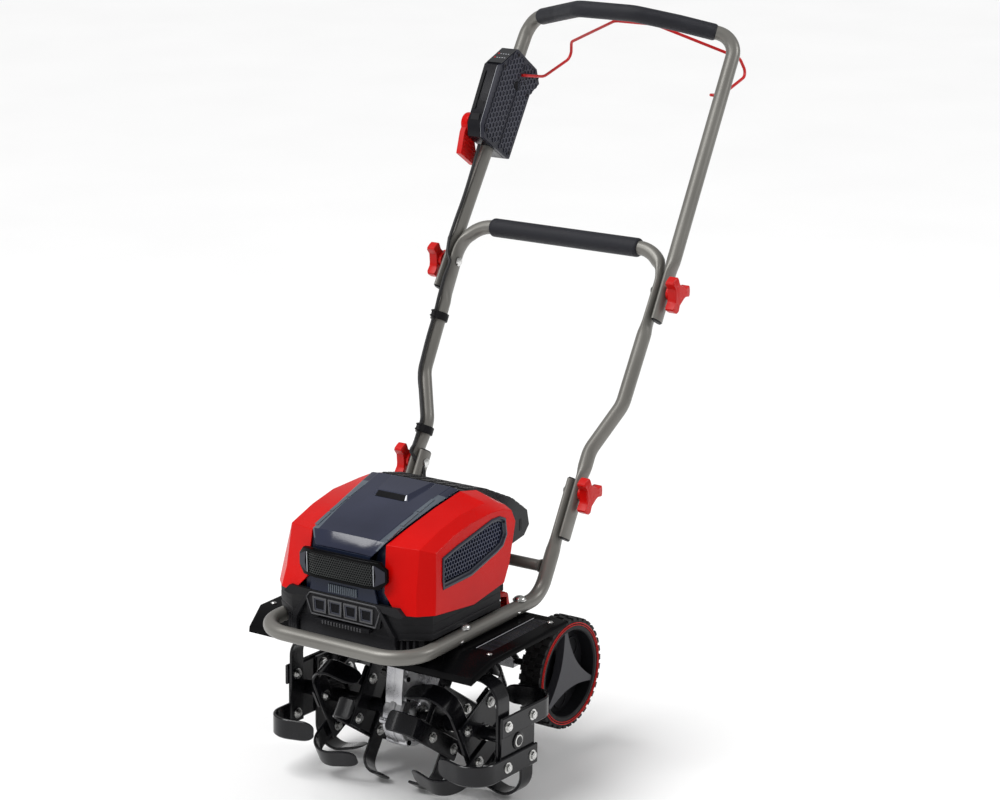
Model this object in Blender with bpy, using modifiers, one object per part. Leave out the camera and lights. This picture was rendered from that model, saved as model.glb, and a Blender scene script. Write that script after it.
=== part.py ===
"""Cordless garden tiller: tube frame, motor housing, worm gearbox, six tine stars, two wheels and a folding handle.

Lengths are in millimetres and are scaled to metres when a mesh is made.  Every position is given from the
datum: the centre plane (x = 0), the rear bend of the side rails (y = 0) and the rails' centreline (z = 0).
+X is the machine's left-right axis, -Y its front, +Z up.
"""
import math

import bmesh
import bpy
from mathutils import Matrix, Vector

MM = 0.001
GAP = 0.3                      # clearance between touching pieces

# ---- driving dimensions -------------------------------------------------------------------------------
FRAME_HALF = 157.5             # centre plane to the centreline of a side rail
TUBE_R = 12.7                  # every frame and handle tube is 25.4 mm across
FRONT_BAR_Y = -383.0
HANDLE_SLOPE = math.radians(59.6)
UPPER_SLOPE = math.radians(57.5)
STUB_LENGTH = 210.0            # length of the frame's upright stubs along the handle slope
LOWER_FOLD = 190.0             # distance of the lower fold bolt along the slope
UPPER_FOLD = 565.0             # distance of the upper fold bolt along the slope
MIDDLE_TOP = 638.0             # corner of the middle handle along the slope
AXLE_Y, AXLE_Z = -168.2, -192.2    # tine axle
WHEEL_Y, WHEEL_Z = 61.1, -156.4    # wheel axle
WHEEL_R = 99.0
STAR_X = (78.0, 150.0, 223.0)      # planes of the inner, middle and outer tine stars
STAR_PHASE = (-35.0, 25.0, -2.0)   # their turn about the axle, in degrees
BOLT_PITCH = 72.8              # bolt square of a tine plate
BLADE_WIDTH = 36.0
BLADE_THICK = 5.0
FLOOR_Z = -317.17               # lowest tine tip below the datum
MIDDLE_Y = 117.91               # middle of the whole length, behind the datum

AXLE = Vector((0, AXLE_Y, AXLE_Z))


def slope_point(x, along, slope=HANDLE_SLOPE, start=(0.0, 0.0)):
    """Point at a distance along a handle leg."""
    return Vector((x, start[0] + along * math.cos(slope), start[1] + along * math.sin(slope)))


LOWER_PIVOT = slope_point(0, LOWER_FOLD)
UPPER_PIVOT = slope_point(0, UPPER_FOLD)


def upper_point(x, along):
    """Point of the upper handle, measured along its leg from the upper fold bolt."""
    return slope_point(x, along, UPPER_SLOPE, (UPPER_PIVOT.y, UPPER_PIVOT.z))


# ---- scene and materials ------------------------------------------------------------------------------
for old in list(bpy.data.objects):
    bpy.data.objects.remove(old, do_unlink=True)

tiller = bpy.data.collections.new("tiller")
bpy.context.scene.collection.children.link(tiller)
cutters = bpy.data.collections.new("cutters")
bpy.context.scene.collection.children.link(cutters)


def empty(name, location, parent=None):
    obj = bpy.data.objects.new(name, None)
    obj.empty_display_size = 0.03
    obj.location = location
    obj.parent = parent
    tiller.objects.link(obj)
    return obj


datum = empty("datum", Vector((0, -MIDDLE_Y, -FLOOR_Z)) * MM)


def make_material(name, colour, metallic, roughness):
    mat = bpy.data.materials.new(name)
    mat.use_nodes = True
    shader = mat.node_tree.nodes["Principled BSDF"]
    shader.inputs["Base Color"].default_value = (*colour, 1.0)
    shader.inputs["Metallic"].default_value = metallic
    shader.inputs["Roughness"].default_value = roughness
    return mat


TUBE_PAINT = make_material("warm_grey_paint", (0.22, 0.21, 0.19), 0.3, 0.38)
BLACK_STEEL = make_material("black_painted_steel", (0.02, 0.02, 0.022), 0.2, 0.35)
ZINC = make_material("zinc_plated_steel", (0.62, 0.62, 0.6), 1.0, 0.3)
ALUMINIUM = make_material("cast_aluminium", (0.5, 0.5, 0.51), 0.9, 0.45)
RED_PLASTIC = make_material("red_plastic", (0.75, 0.015, 0.01), 0.0, 0.35)
BLACK_PLASTIC = make_material("black_plastic", (0.018, 0.018, 0.02), 0.0, 0.5)
GREY_PLASTIC = make_material("grey_plastic", (0.1, 0.1, 0.11), 0.0, 0.5)
SMOKED = make_material("smoked_cover", (0.05, 0.06, 0.09), 0.0, 0.12)
RUBBER = make_material("black_rubber", (0.02, 0.02, 0.02), 0.0, 0.8)
FOAM = make_material("foam_grip", (0.03, 0.03, 0.034), 0.0, 0.9)
RED_WIRE = make_material("red_wire", (0.45, 0.02, 0.02), 0.2, 0.35)
BRASS = make_material("bronze_wheel", (0.6, 0.42, 0.2), 1.0, 0.4)
BOARD = make_material("circuit_board", (0.02, 0.12, 0.05), 0.0, 0.5)


# ---- mesh helpers -------------------------------------------------------------------------------------
def add_object(name, mesh_data, mat, angle=35.0, pivot=None, group=tiller):
    """Link a mesh given in datum millimetres; a pivot is a (point, empty) pair on the piece's joint axis."""
    mesh_data.transform(Matrix.Scale(MM, 4))
    obj = bpy.data.objects.new(name, mesh_data)
    group.objects.link(obj)
    obj.parent = datum
    if pivot:
        point, holder = pivot
        mesh_data.transform(Matrix.Translation(-point * MM))
        obj.parent = holder
    mesh_data.shade_smooth()
    mesh_data.set_sharp_from_angle(angle=math.radians(angle))
    if mat:
        mesh_data.materials.append(mat)
    return obj


def from_bmesh(name, bm, mat, **options):
    bmesh.ops.recalc_face_normals(bm, faces=bm.faces)
    mesh_data = bpy.data.meshes.new(name)
    bm.to_mesh(mesh_data)
    bm.free()
    return add_object(name, mesh_data, mat, **options)


def add_box(bm, low, high, turn=None):
    """Add a box between two corners, optionally turned about its centre by a rotation matrix."""
    low, high = Vector(low), Vector(high)
    made = bmesh.ops.create_cube(bm, size=1.0)["verts"]
    bmesh.ops.scale(bm, vec=high - low, verts=made)
    if turn:
        bmesh.ops.rotate(bm, cent=(0, 0, 0), matrix=turn, verts=made)
    bmesh.ops.translate(bm, vec=(low + high) / 2, verts=made)
    return made


def add_rod(bm, start, end, radius, radius_end=None, sides=20):
    """Add a solid cylinder or cone between two points."""
    start, end = Vector(start), Vector(end)
    axis = end - start
    made = bmesh.ops.create_cone(bm, cap_ends=True, segments=sides, radius1=radius,
                                 radius2=radius if radius_end is None else radius_end, depth=axis.length)["verts"]
    turn = axis.to_track_quat("Z", "Y").to_matrix()
    bmesh.ops.rotate(bm, cent=(0, 0, 0), matrix=turn, verts=made)
    bmesh.ops.translate(bm, vec=(start + end) / 2, verts=made)
    return made


def box(name, low, high, mat, bevel=0.0, turn=None, **options):
    bm = bmesh.new()
    add_box(bm, low, high, turn)
    if bevel:
        bmesh.ops.bevel(bm, geom=bm.edges[:], offset=bevel, segments=1, affect="EDGES")
    return from_bmesh(name, bm, mat, **options)


def rod(name, start, end, radius, mat, sides=20, radius_end=None, **options):
    bm = bmesh.new()
    add_rod(bm, start, end, radius, radius_end, sides)
    return from_bmesh(name, bm, mat, **options)


def prism(name, outline, low, high, mat, axis="X", place=None, **options):
    """Extrude a flat outline.  Axis X takes (y, z) points, axis Z takes (x, y) points."""
    order = {"X": lambda u, v, w: (w, u, v), "Y": lambda u, v, w: (u, w, v), "Z": lambda u, v, w: (u, v, w)}[axis]
    bm = bmesh.new()
    lower = [bm.verts.new(order(u, v, low(u, v) if callable(low) else low)) for u, v in outline]
    upper = [bm.verts.new(order(u, v, high(u, v) if callable(high) else high)) for u, v in outline]
    bm.faces.new(lower)
    bm.faces.new(upper)
    for i in range(len(outline)):
        j = (i + 1) % len(outline)
        bm.faces.new((lower[i], lower[j], upper[j], upper[i]))
    if place:
        bmesh.ops.transform(bm, matrix=place, verts=bm.verts)
    return from_bmesh(name, bm, mat, **options)


def turned(name, profile, centre, mat, steps=24, axis="X", pivot=None):
    """Turn a (radius, along) profile about an axis through centre with a Screw modifier.

    A profile that starts and ends on the axis makes a solid; any other is closed into a ring.
    """
    closed = profile[0][0] > 0 or profile[-1][0] > 0
    area = sum(a[0] * b[1] - b[0] * a[1] for a, b in zip(profile, profile[1:] + profile[:1]))
    points = list(reversed(profile)) if area > 0 else list(profile)
    count = len(points)
    mesh_data = bpy.data.meshes.new(name)
    mesh_data.from_pydata([(radius * MM, 0, along * MM) for radius, along in points],
                          [(i, (i + 1) % count) for i in range(count if closed else count - 1)], [])
    obj = bpy.data.objects.new(name, mesh_data)
    tiller.objects.link(obj)
    point, holder = pivot or (Vector((0, 0, 0)), datum)
    obj.parent = holder
    obj.location = (Vector(centre) - point) * MM
    obj.rotation_euler = {"X": (0, math.pi / 2, 0), "Z": (0, 0, 0)}[axis]
    screw = obj.modifiers.new("turn", "SCREW")
    screw.axis = "Z"
    screw.steps = steps
    screw.render_steps = steps
    screw.use_merge_vertices = True
    screw.merge_threshold = 0.00001
    screw.use_smooth_shade = True
    if mat:
        mesh_data.materials.append(mat)
    return obj


def loft(name, rings, mat, triangles=False, **options):
    """Skin a list of closed rings that all have the same number of points and cap both ends."""
    bm = bmesh.new()
    rows = [[bm.verts.new(point) for point in ring] for ring in rings]
    count = len(rows[0])
    for row, following in zip(rows, rows[1:]):
        for i in range(count):
            j = (i + 1) % count
            bm.faces.new((row[i], row[j], following[j], following[i]))
    bm.faces.new(rows[0])
    bm.faces.new(rows[-1])
    if triangles:
        bmesh.ops.triangulate(bm, faces=bm.faces[:])
    return from_bmesh(name, bm, mat, **options)


def fillet_path(corners, radii, step=15.0):
    """Polyline through corners whose inner corners are rounded with the given bend radii."""
    corners = [Vector(c) for c in corners]
    path = [corners[0]]
    for before, corner, after, radius in zip(corners, corners[1:], corners[2:], radii):
        into, out = (before - corner).normalized(), (after - corner).normalized()
        opening = into.angle(out)
        turn = math.pi - opening
        if turn < math.radians(2.0):
            path.append(corner)
            continue
        reach = radius / math.tan(opening / 2)
        centre = corner + (into + out).normalized() * (radius / math.sin(opening / 2))
        first = corner + into * reach - centre
        last = corner + out * reach - centre
        steps = max(2, round(math.degrees(turn) / step))
        for k in range(steps + 1):
            path.append(centre + first.normalized().slerp(last.normalized(), k / steps) * radius)
    path.append(corners[-1])
    return path


def tube_rings(path, half_sizes, sides=12, flat_axis=(1, 0, 0)):
    """Oval rings along a path; half_sizes(distance, total) gives their half thickness and half width."""
    thin = Vector(flat_axis)
    lengths = [0.0]
    for a, b in zip(path, path[1:]):
        lengths.append(lengths[-1] + (b - a).length)
    rings = []
    for i, point in enumerate(path):
        tangent = (path[min(i + 1, len(path) - 1)] - path[max(i - 1, 0)]).normalized()
        thin = (thin - tangent * thin.dot(tangent)).normalized()
        wide = tangent.cross(thin)
        half_thin, half_wide = half_sizes(lengths[i], lengths[-1])
        rings.append([point + thin * (half_thin * math.cos(a)) + wide * (half_wide * math.sin(a))
                      for a in (2 * math.pi * (k + 0.5) / sides for k in range(sides))])
    return rings


def tube_loft(name, path, half_sizes, mat, sides=12, **options):
    """Sweep an oval along a path as one solid."""
    return loft(name, tube_rings(path, half_sizes, sides), mat, **options)


def wire(name, points, radius, mat, resolution=2, pivot=None):
    """Round wire or tube as a curve with filled caps."""
    curve = bpy.data.curves.new(name, "CURVE")
    curve.dimensions = "3D"
    curve.bevel_depth = radius * MM
    curve.bevel_resolution = resolution
    curve.use_fill_caps = True
    spline = curve.splines.new("POLY")
    spline.points.add(len(points) - 1)
    base = pivot[0] if pivot else Vector((0, 0, 0))
    for target, point in zip(spline.points, points):
        target.co = (*((Vector(point) - base) * MM), 1.0)
    obj = bpy.data.objects.new(name, curve)
    tiller.objects.link(obj)
    obj.parent = pivot[1] if pivot else datum
    curve.materials.append(mat)
    return obj


def smooth_route(points, per_span=4):
    """Catmull-Rom points along a route."""
    pts = [Vector(p) for p in points]
    pts = [2 * pts[0] - pts[1]] + pts + [2 * pts[-1] - pts[-2]]
    route = []
    for i in range(1, len(pts) - 2):
        p0, p1, p2, p3 = pts[i - 1:i + 3]
        for k in range(per_span):
            t = k / per_span
            route.append(0.5 * (2 * p1 + (p2 - p0) * t + (2 * p0 - 5 * p1 + 4 * p2 - p3) * t * t
                                + (3 * p1 - p0 - 3 * p2 + p3) * t ** 3))
    route.append(pts[-2])
    return route


def cut(target, cutter, operation="DIFFERENCE"):
    """Boolean one object with another, which is left out of the build."""
    cutter.hide_render = True
    cutter.display_type = "WIRE"
    for group in list(cutter.users_collection):
        group.objects.unlink(cutter)
    cutters.objects.link(cutter)
    modifier = target.modifiers.new(cutter.name, "BOOLEAN")
    modifier.operation = operation
    modifier.object = cutter
    modifier.solver = "EXACT"
    return target


def bolt_hole(name, centre, radius, reach):
    """Cross hole for a fold bolt."""
    centre = Vector(centre)
    return rod(name, centre - Vector((reach, 0, 0)), centre + Vector((reach, 0, 0)), radius, None, sides=16)


SIDES = (("left", -1), ("right", 1))


# ---- joints' centres ----------------------------------------------------------------------------------
def joint_empty(name, point, parent=None):
    """Empty on a joint axis; returns the (point, empty) pair that pieces are hung from."""
    base = parent[0] if parent else Vector((0, 0, 0))
    holder = empty(name, (Vector(point) - base) * MM, parent[1] if parent else datum)
    return Vector(point), holder


middle_fold = joint_empty("middle_handle_pivot", LOWER_PIVOT)
upper_fold = joint_empty("upper_handle_pivot", UPPER_PIVOT, middle_fold)
UPPER_ALONG = Vector((0, math.cos(UPPER_SLOPE), math.sin(UPPER_SLOPE)))
UPPER_PERP = Vector((0, math.sin(UPPER_SLOPE), -math.cos(UPPER_SLOPE)))   # towards the walking user
BAIL_PIVOT = upper_point(0, 373.0) + UPPER_PERP * 4.0
bail_pivot = joint_empty("bail_pivot", BAIL_PIVOT, upper_fold)
rotor_pivot = joint_empty("tine_rotor_pivot", AXLE)
WORM_Y = AXLE_Y + 48.0
worm_pivot = joint_empty("worm_pivot", (0, WORM_Y, -100.0))
wheel_bar = joint_empty("wheel_bar_slide", (0, WHEEL_Y, WHEEL_Z))
COVER_HINGE = Vector((0, -137.0, 210.0))
cover_pivot = joint_empty("battery_cover_pivot", COVER_HINGE)


# ---- main frame ---------------------------------------------------------------------------------------
def pressed(ranges, flat, ramp=24.0):
    """Half sizes of a tube that is pressed flat over ranges of its length, measured from the nearer end."""
    def half_sizes(distance, total):
        along = min(distance, total - distance)
        blend = 1.0
        for start, end in ranges:
            outside = max(start - along, along - end, 0.0)
            blend = min(blend, min(outside / ramp, 1.0))
        return tuple(a + (TUBE_R - a) * blend for a in flat)
    return half_sizes


def add_stations(path, stations):
    """Put extra points on a path at given distances from either of its ends."""
    for _ in range(2):
        out, walked, left = [path[0]], 0.0, sorted(stations)
        for a, b in zip(path, path[1:]):
            length = (b - a).length
            while left and left[0] < walked + length - 2.0:
                station = left.pop(0)
                if station > walked + 2.0:
                    out.append(a.lerp(b, (station - walked) / length))
            out.append(b)
            walked += length
        path = list(reversed(out))
    return path


frame_path = fillet_path(
    [slope_point(-FRAME_HALF, STUB_LENGTH), (-FRAME_HALF, 0, 0), (-FRAME_HALF, FRONT_BAR_Y, 0),
     (FRAME_HALF, FRONT_BAR_Y, 0), (FRAME_HALF, 0, 0), slope_point(FRAME_HALF, STUB_LENGTH)],
    [55.0, 62.0, 62.0, 55.0])
main_frame = tube_loft("main_frame", add_stations(frame_path, (106.0, 118.0, 130.0)),
                       pressed([(0.0, 106.0)], (8.0, 15.8)), TUBE_PAINT)
for side, sign in SIDES:
    cut(main_frame, bolt_hole(f"{side}_stub_hole", slope_point(sign * FRAME_HALF, LOWER_FOLD), 4.3, 20))
CROSS_Y, CROSS_Z = 26.0, 45.0
rod("cross_tube", (-FRAME_HALF + TUBE_R + GAP, CROSS_Y, CROSS_Z),
    (FRAME_HALF - TUBE_R - GAP, CROSS_Y, CROSS_Z), 10.0, TUBE_PAINT, sides=16)

# ---- sheet deck ---------------------------------------------------------------------------------------
DECK_TOP = -TUBE_R - GAP
DECK_REAR, DECK_BEND, DECK_FRONT = -47.0, -266.0, -309.0
DECK_DROP = -22.0
deck_rows = []
for y, narrowed, drop, lip in ((DECK_REAR, 1.0, 0.0, 11.0), (DECK_BEND, 1.0, 0.0, 11.0),
                               (DECK_FRONT, 0.955, DECK_DROP, 11.0), (DECK_FRONT - 2.0, 0.953, DECK_DROP - 9.0, 3.0)):
    top = [(-244.0, -lip), (-243.0, 0.0), (0.0, 0.0), (243.0, 0.0), (244.0, -lip)]
    under = [(242.0, -lip), (241.0, -2.0), (0.0, -2.0), (-241.0, -2.0), (-242.0, -lip)]
    deck_rows.append([(x * narrowed, y, DECK_TOP + drop + z) for x, z in top + under])
deck = loft("deck_plate", deck_rows, BLACK_STEEL)
cut(deck, rod("deck_opening", (0, WORM_Y, -40), (0, WORM_Y, 10), 15.0, None))

# ---- gearbox ------------------------------------------------------------------------------------------
NECK_TOP = DECK_TOP - 2.0 - GAP
SPLIT = GAP / 2


def across(sign, low, high):
    """Low and high x of a span given outwards on one side of the centre plane."""
    return tuple(sorted((sign * low, sign * high)))


def side_box(name, sign, x_span, y_span, z_span, mat=None, **options):
    low, high = across(sign, *x_span)
    return box(name, (low, y_span[0], z_span[0]), (high, y_span[1], z_span[1]), mat, **options)


def side_rod(name, sign, x_span, centre, radius, mat=None, **options):
    return rod(name, (sign * x_span[0], centre[1], centre[2]), (sign * x_span[1], centre[1], centre[2]),
               radius, mat, **options)


neck_outline = [(-94, NECK_TOP - 8), (-186, NECK_TOP - 8), (-212, -140), (-206, -222), (-150, -248), (-98, -232),
                (-94, -150)]
for side, sign in SIDES:
    case = prism(f"gearbox_{side}", neck_outline, *across(sign, SPLIT, 18.0), ALUMINIUM)
    cut(case, side_rod(f"case_{side}", sign, (SPLIT, 20.0), AXLE, 56.0, sides=28), "UNION")
    cut(case, side_rod(f"boss_{side}", sign, (12.0, 27.0), AXLE, 25.0, sides=24), "UNION")
    cut(case, side_box(f"flange_{side}", sign, (SPLIT, 42.0), (-206, -74), (NECK_TOP - 9, NECK_TOP)), "UNION")
    cut(case, side_rod(f"wheel_space_{side}", sign, (-3.0, 10.0), AXLE, 42.0, sides=28))
    cut(case, rod(f"worm_space_{side}", (0, WORM_Y, AXLE_Z - 26), (0, WORM_Y, 20), 13.0, None))
    cut(case, side_rod(f"shaft_bore_{side}", sign, (-4.0, 40.0), AXLE, 9.5))
    cut(case, side_rod(f"bearing_seat_{side}", sign, (15.0, 45.0), AXLE, 19.3, sides=24))
    inner, outer = across(sign, 15.3, 25.5)
    turned(f"bearing_{side}", [(19.0, outer), (19.0, inner), (8.3, inner), (8.3, outer)], AXLE, ZINC, steps=20)

# ---- tine rotor ---------------------------------------------------------------------------------------
rod("tine_shaft", (-229, AXLE_Y, AXLE_Z), (229, AXLE_Y, AXLE_Z), 8.0, ZINC, pivot=rotor_pivot)
worm_wheel = rod("worm_wheel", (-8, AXLE_Y, AXLE_Z), (8, AXLE_Y, AXLE_Z), 34.0, BRASS, sides=28, pivot=rotor_pivot)
cut(worm_wheel, rod("wheel_bore", (-30, AXLE_Y, AXLE_Z), (30, AXLE_Y, AXLE_Z), 8.3, None, pivot=rotor_pivot))
turned("worm_shaft",
       [(0, 92.0), (4.9, 92.0), (4.9, -68.0), (11.5, -72.0), (11.5, -110.0), (4.9, -114.0), (4.9, -116.0), (0, -116.0)],
       (0, WORM_Y, -100.0), BRASS, steps=16, axis="Z", pivot=worm_pivot)

HALF_PITCH = BOLT_PITCH / 2
# star index, bend radius, bend angle, length past the bend, inner end of the hub
TINES = {"inner": (0, 30.0, 92.0, 16.0, 28.0), "middle": (1, 40.0, 106.0, 46.0, 81.2),
         "outer": (2, 40.0, 106.0, 46.0, 153.2)}
BLADE_REACH = 112.0


def blade_path(radius, bend, leg, start=-52.0):
    """Centre line of one blade as (s, inwards, progress) from its bolted end to its tip."""
    flat_end = BLADE_REACH - radius
    points = [(start, 0.0), (-20.0, 0.0), (24.0, 0.0), (flat_end, 0.0)]
    steps = max(3, round(bend / 26.0))
    for k in range(1, steps + 1):
        a = math.radians(bend) * k / steps
        points.append((flat_end + radius * math.sin(a), radius * (1 - math.cos(a))))
    a = math.radians(bend)
    s, w = points[-1]
    for fraction in (0.45, 0.8, 1.0):
        points.append((s + leg * fraction * math.cos(a), w + leg * fraction * math.sin(a)))
    return points


def blade(name, sign, plane, phase, quarter, offset, shape):
    """One bent strip of a tine star, bolted along one edge of its plate."""
    points = blade_path(*shape)
    widths = [BLADE_WIDTH] * (len(points) - 2) + [BLADE_WIDTH * 0.86, BLADE_WIDTH * 0.42]
    rings = []
    for i, (s, w) in enumerate(points):
        ahead = Vector(points[min(i + 1, len(points) - 1)]) - Vector(points[max(i - 1, 0)])
        ahead.normalize()
        normal = Vector((-ahead.y, ahead.x))
        half = BLADE_THICK / 2
        ring = []
        for t, v in ((-half, -0.5), (-half, 0.5), (half, 0.5), (half, -0.5)):
            ring.append((s + normal.x * t, HALF_PITCH + v * widths[i], w + normal.y * t))
        rings.append(ring)
    turn = math.radians(phase + 90.0 * quarter)
    placed = []
    for ring in rings:
        row = []
        for s, v, w in ring:
            y = s * math.cos(turn) - v * math.sin(turn)
            z = s * math.sin(turn) + v * math.cos(turn)
            row.append((sign * (plane + offset - w), AXLE_Y + y, AXLE_Z + z))
        placed.append(row)
    return loft(name, placed, None, pivot=rotor_pivot)


for side, sign in SIDES:
    for label, (index, *shape, hub_inner) in TINES.items():
        plane, phase = STAR_X[index], STAR_PHASE[index]
        plate = [(a * math.cos(t) - b * math.sin(t) + AXLE_Y, a * math.sin(t) + b * math.cos(t) + AXLE_Z)
                 for a, b, t in ((p, q, math.radians(phase)) for p, q in
                                 ((49, 40), (40, 49), (-40, 49), (-49, 40), (-49, -40), (-40, -49), (40, -49), (49, -40)))]
        star = prism(f"tine_star_{side}_{label}", plate, *across(sign, plane - 2.5, plane + 2.5), BLACK_STEEL,
                     pivot=rotor_pivot)
        for quarter in range(4):
            offset = 4.8 if quarter % 2 == 0 else -4.8
            cut(star, blade(f"blade_{side}_{label}_{quarter}", sign, plane, phase, quarter, offset, shape), "UNION")
            turn = math.radians(phase + 45.0 + 90.0 * quarter)
            reach = HALF_PITCH * math.sqrt(2)
            centre = (0, AXLE_Y + reach * math.cos(turn), AXLE_Z + reach * math.sin(turn))
            cut(star, side_rod(f"tine_bolt_{side}_{label}_{quarter}", sign, (plane - 12.0, plane + 12.0), centre, 7.5,
                               sides=6, pivot=rotor_pivot), "UNION")
        hub_outer = plane + 2.4
        cut(star, side_rod(f"hub_{side}_{label}", sign, (hub_inner, hub_outer), AXLE, 12.5, sides=20,
                           pivot=rotor_pivot), "UNION")
        cut(star, side_rod(f"hub_bore_{side}_{label}", sign, (hub_inner - 9, plane + 20), AXLE, 8.3, sides=20,
                           pivot=rotor_pivot))

# ---- housing ------------------------------------------------------------------------------------------


def plan_ring(half, z, inset=0.0):
    """Plan outline of the base with chamfered corners at one height."""
    front, rear = -340.0 + inset, -80.0 - inset
    return [(half, -312, z), (half - 46, front, z), (-half + 46, front, z), (-half, -312, z),
            (-half, -118, z), (-half + 52, rear, z), (half - 52, rear, z), (half, -118, z)]


FLOOR = DECK_TOP + GAP
base = loft("base_shell", [plan_ring(140, FLOOR), plan_ring(140, 13.4), plan_ring(157, 16.0), plan_ring(158, 44.0)],
            BLACK_PLASTIC, triangles=True)
cut(base, loft("base_space", [plan_ring(136.5, FLOOR + 3, 3.5), plan_ring(136.5, 13.4, 3.5),
                              plan_ring(153.5, 19.0, 3.5), plan_ring(154.5, 60.0, 3.5)], None, triangles=True))
cut(base, rod("base_opening", (0, WORM_Y, -30), (0, WORM_Y, 30), 15.0, None))

cowl_rings = [
    [(108, -343, 60), (80, -338, 91), (76, -326, 170), (81, -270, 186), (86, -205, 202), (93, -141, 216),
     (94, -95, 206), (94, -62, 182), (94, -45, 152), (94, -70, 86), (94, -84, 56), (100, -200, 45)],
    [(140, -332, 60), (134, -324, 95), (132, -310, 167), (132, -253, 185), (132, -196, 196), (132, -123, 197),
     (132, -90, 190), (132, -66, 179), (132, -54, 152), (132, -79, 86), (132, -92, 57), (132, -200, 45.5)],
    [(162, -310, 60), (158, -302, 95), (149, -289, 158), (149, -236, 174), (149, -190, 182), (149, -130, 185),
     (149, -95, 181), (150, -72, 174), (152, -63, 152), (156, -88, 86), (160, -110, 58), (161, -200, 46)]]
WINDOW = [(-275, 148), (-118, 175), (-92, 166), (-93, 137), (-107, 122), (-203, 97), (-280, 95)]
HOLLOW_CENTRE = Vector((0, -190, 110))


def shrunk(ring, wall):
    """Ring moved inwards by a wall thickness; its lower points go down so that the hollow opens downwards."""
    out = []
    for i, point in enumerate(ring):
        offset = Vector(point) - HOLLOW_CENTRE
        y = offset.y - math.copysign(wall, offset.y) * (0.25 if i in (3, 4) else 1.0)
        z = offset.z - wall * (1.15 if offset.z > 0 else 0.0)
        if i in (0, 10, 11):
            z = -100.0
        out.append(Vector((point[0], HOLLOW_CENTRE.y + y, HOLLOW_CENTRE.z + z)))
    return out


for side, sign in SIDES:
    rings = [[(sign * x, y, z) for x, y, z in ring] for ring in cowl_rings]
    cowl = loft(f"cowl_{side}", rings, RED_PLASTIC, triangles=True)
    first, middle, last = ([(sign * p.x, p.y, p.z) for p in shrunk(ring, 3.5)] for ring in cowl_rings)
    opened = [(sign * 50.0, y, z) for x, y, z in first]
    inner = [(x - sign * 3.5, y, z) for x, y, z in last]
    cut(cowl, loft(f"cowl_space_{side}", [opened, first, middle, inner], None, triangles=True))
    cut(cowl, prism(f"window_{side}", WINDOW, *across(sign, 135.0, 180.0), None))
    centre = Vector((-185.0, 135.0))
    pane = [tuple(Vector(p) + (centre - Vector(p)).normalized() * 1.2) for p in WINDOW]
    mesh_x = {True: 151.5, False: 148.0}
    prism(f"window_mesh_{side}", pane, lambda y, z, s=sign: s * (mesh_x[z < 125]) - 1.0,
          lambda y, z, s=sign: s * (mesh_x[z < 125]) + 1.0, BLACK_PLASTIC)

rear_outline = [(-132, 214), (-60, 196), (20, 158), (62, 128), (68, 100), (52, 84), (-5, 76), (-44, 50), (-60, 50)]
rear_cover = prism("rear_cover", rear_outline, -91.5, 91.5, BLACK_PLASTIC)
cut(rear_cover, prism("rear_space", [(-140, 213), (-62, 192.5), (18, 154.5), (58.5, 126), (64.5, 101), (50, 87.5),
                                     (-7, 79.5), (-46, 53.5), (-62, 40), (-140, 40)], -88.5, 88.5, None))

front_grille = box("front_grille", (-74, -348, 26), (74, -340.5, 94), BLACK_PLASTIC, bevel=1.5)
for i in range(4):
    left = -60 + i * 32.0
    cut(front_grille, box(f"grille_window_{i}", (left, -352, 44), (left + 24, -336, 82), None))

label_outline = [(-92, -341.5), (-80, -347), (-50, -352.5), (50, -352.5), (80, -347), (92, -341.5), (92, -339.4),
                 (-92, -339.4)]
prism("label_bar", label_outline, 98.0, 147.0, BLACK_PLASTIC, axis="Z")

motor = rod("motor_can", (0, WORM_Y, FLOOR + 3.3), (0, WORM_Y, 88), 35.0, GREY_PLASTIC, sides=28)
cut(motor, rod("motor_bore", (0, WORM_Y, -30), (0, WORM_Y, 10), 5.4, None))
box("control_board", (48, -290, -6), (124, -190, -3), BOARD)
tray = box("battery_tray", (-86, -318, 92), (72, -80, 128), GREY_PLASTIC)
tray_space = box("tray_space", (-69, -315, 95), (69, -83, 150), None)
cut(tray, tray_space)
for side, sign in SIDES:
    side_box(f"battery_{side}", sign, (1.5, 68.0), (-296, -150), (95.3, 158), BLACK_PLASTIC, bevel=4.0)

# ---- battery cover ------------------------------------------------------------------------------------


def cover_row(y, half, z, dome):
    top = [(-half, z), (-half * 0.8, z + dome), (0, z + dome + 1), (half * 0.8, z + dome), (half, z)]
    return [(x, y, h) for x, h in top] + [(x * 0.97, y + 1.5, h - 3.0) for x, h in reversed(top)]


loft("battery_cover", [cover_row(-341, 57, 151, 1), cover_row(-326.5, 74.5, 172.5, 2), cover_row(-270, 79.5, 189, 3),
                       cover_row(-205, 84.5, 205, 3), cover_row(-142, 91, 218, 3)], SMOKED, pivot=cover_pivot)

# ---- wheel carrier ------------------------------------------------------------------------------------
beam = box("wheel_sleeve", (-124, -66, -40), (124, -22, DECK_TOP - 2.0 - GAP), BLACK_STEEL, bevel=1.0)
cut(beam, box("sleeve_block", (-24, -40, -40), (24, 84, DECK_TOP - 2.0 - GAP), None), "UNION")
cut(beam, box("sleeve_hole", (-8.4, WHEEL_Y - 8.4, -60), (8.4, WHEEL_Y + 8.4, 10), None))
LEVER_X = 112.0
LEVER_PIVOT = Vector((LEVER_X, -36.0, -28.0))
cut(beam, box("lever_slot", (LEVER_X - 8, -75, -60), (LEVER_X + 8, -28.5, 10), None))
cut(beam, rod("lever_hole", LEVER_PIVOT - Vector((13, 0, 0)), LEVER_PIVOT + Vector((20, 0, 0)), 2.8, None, sides=12))

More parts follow.
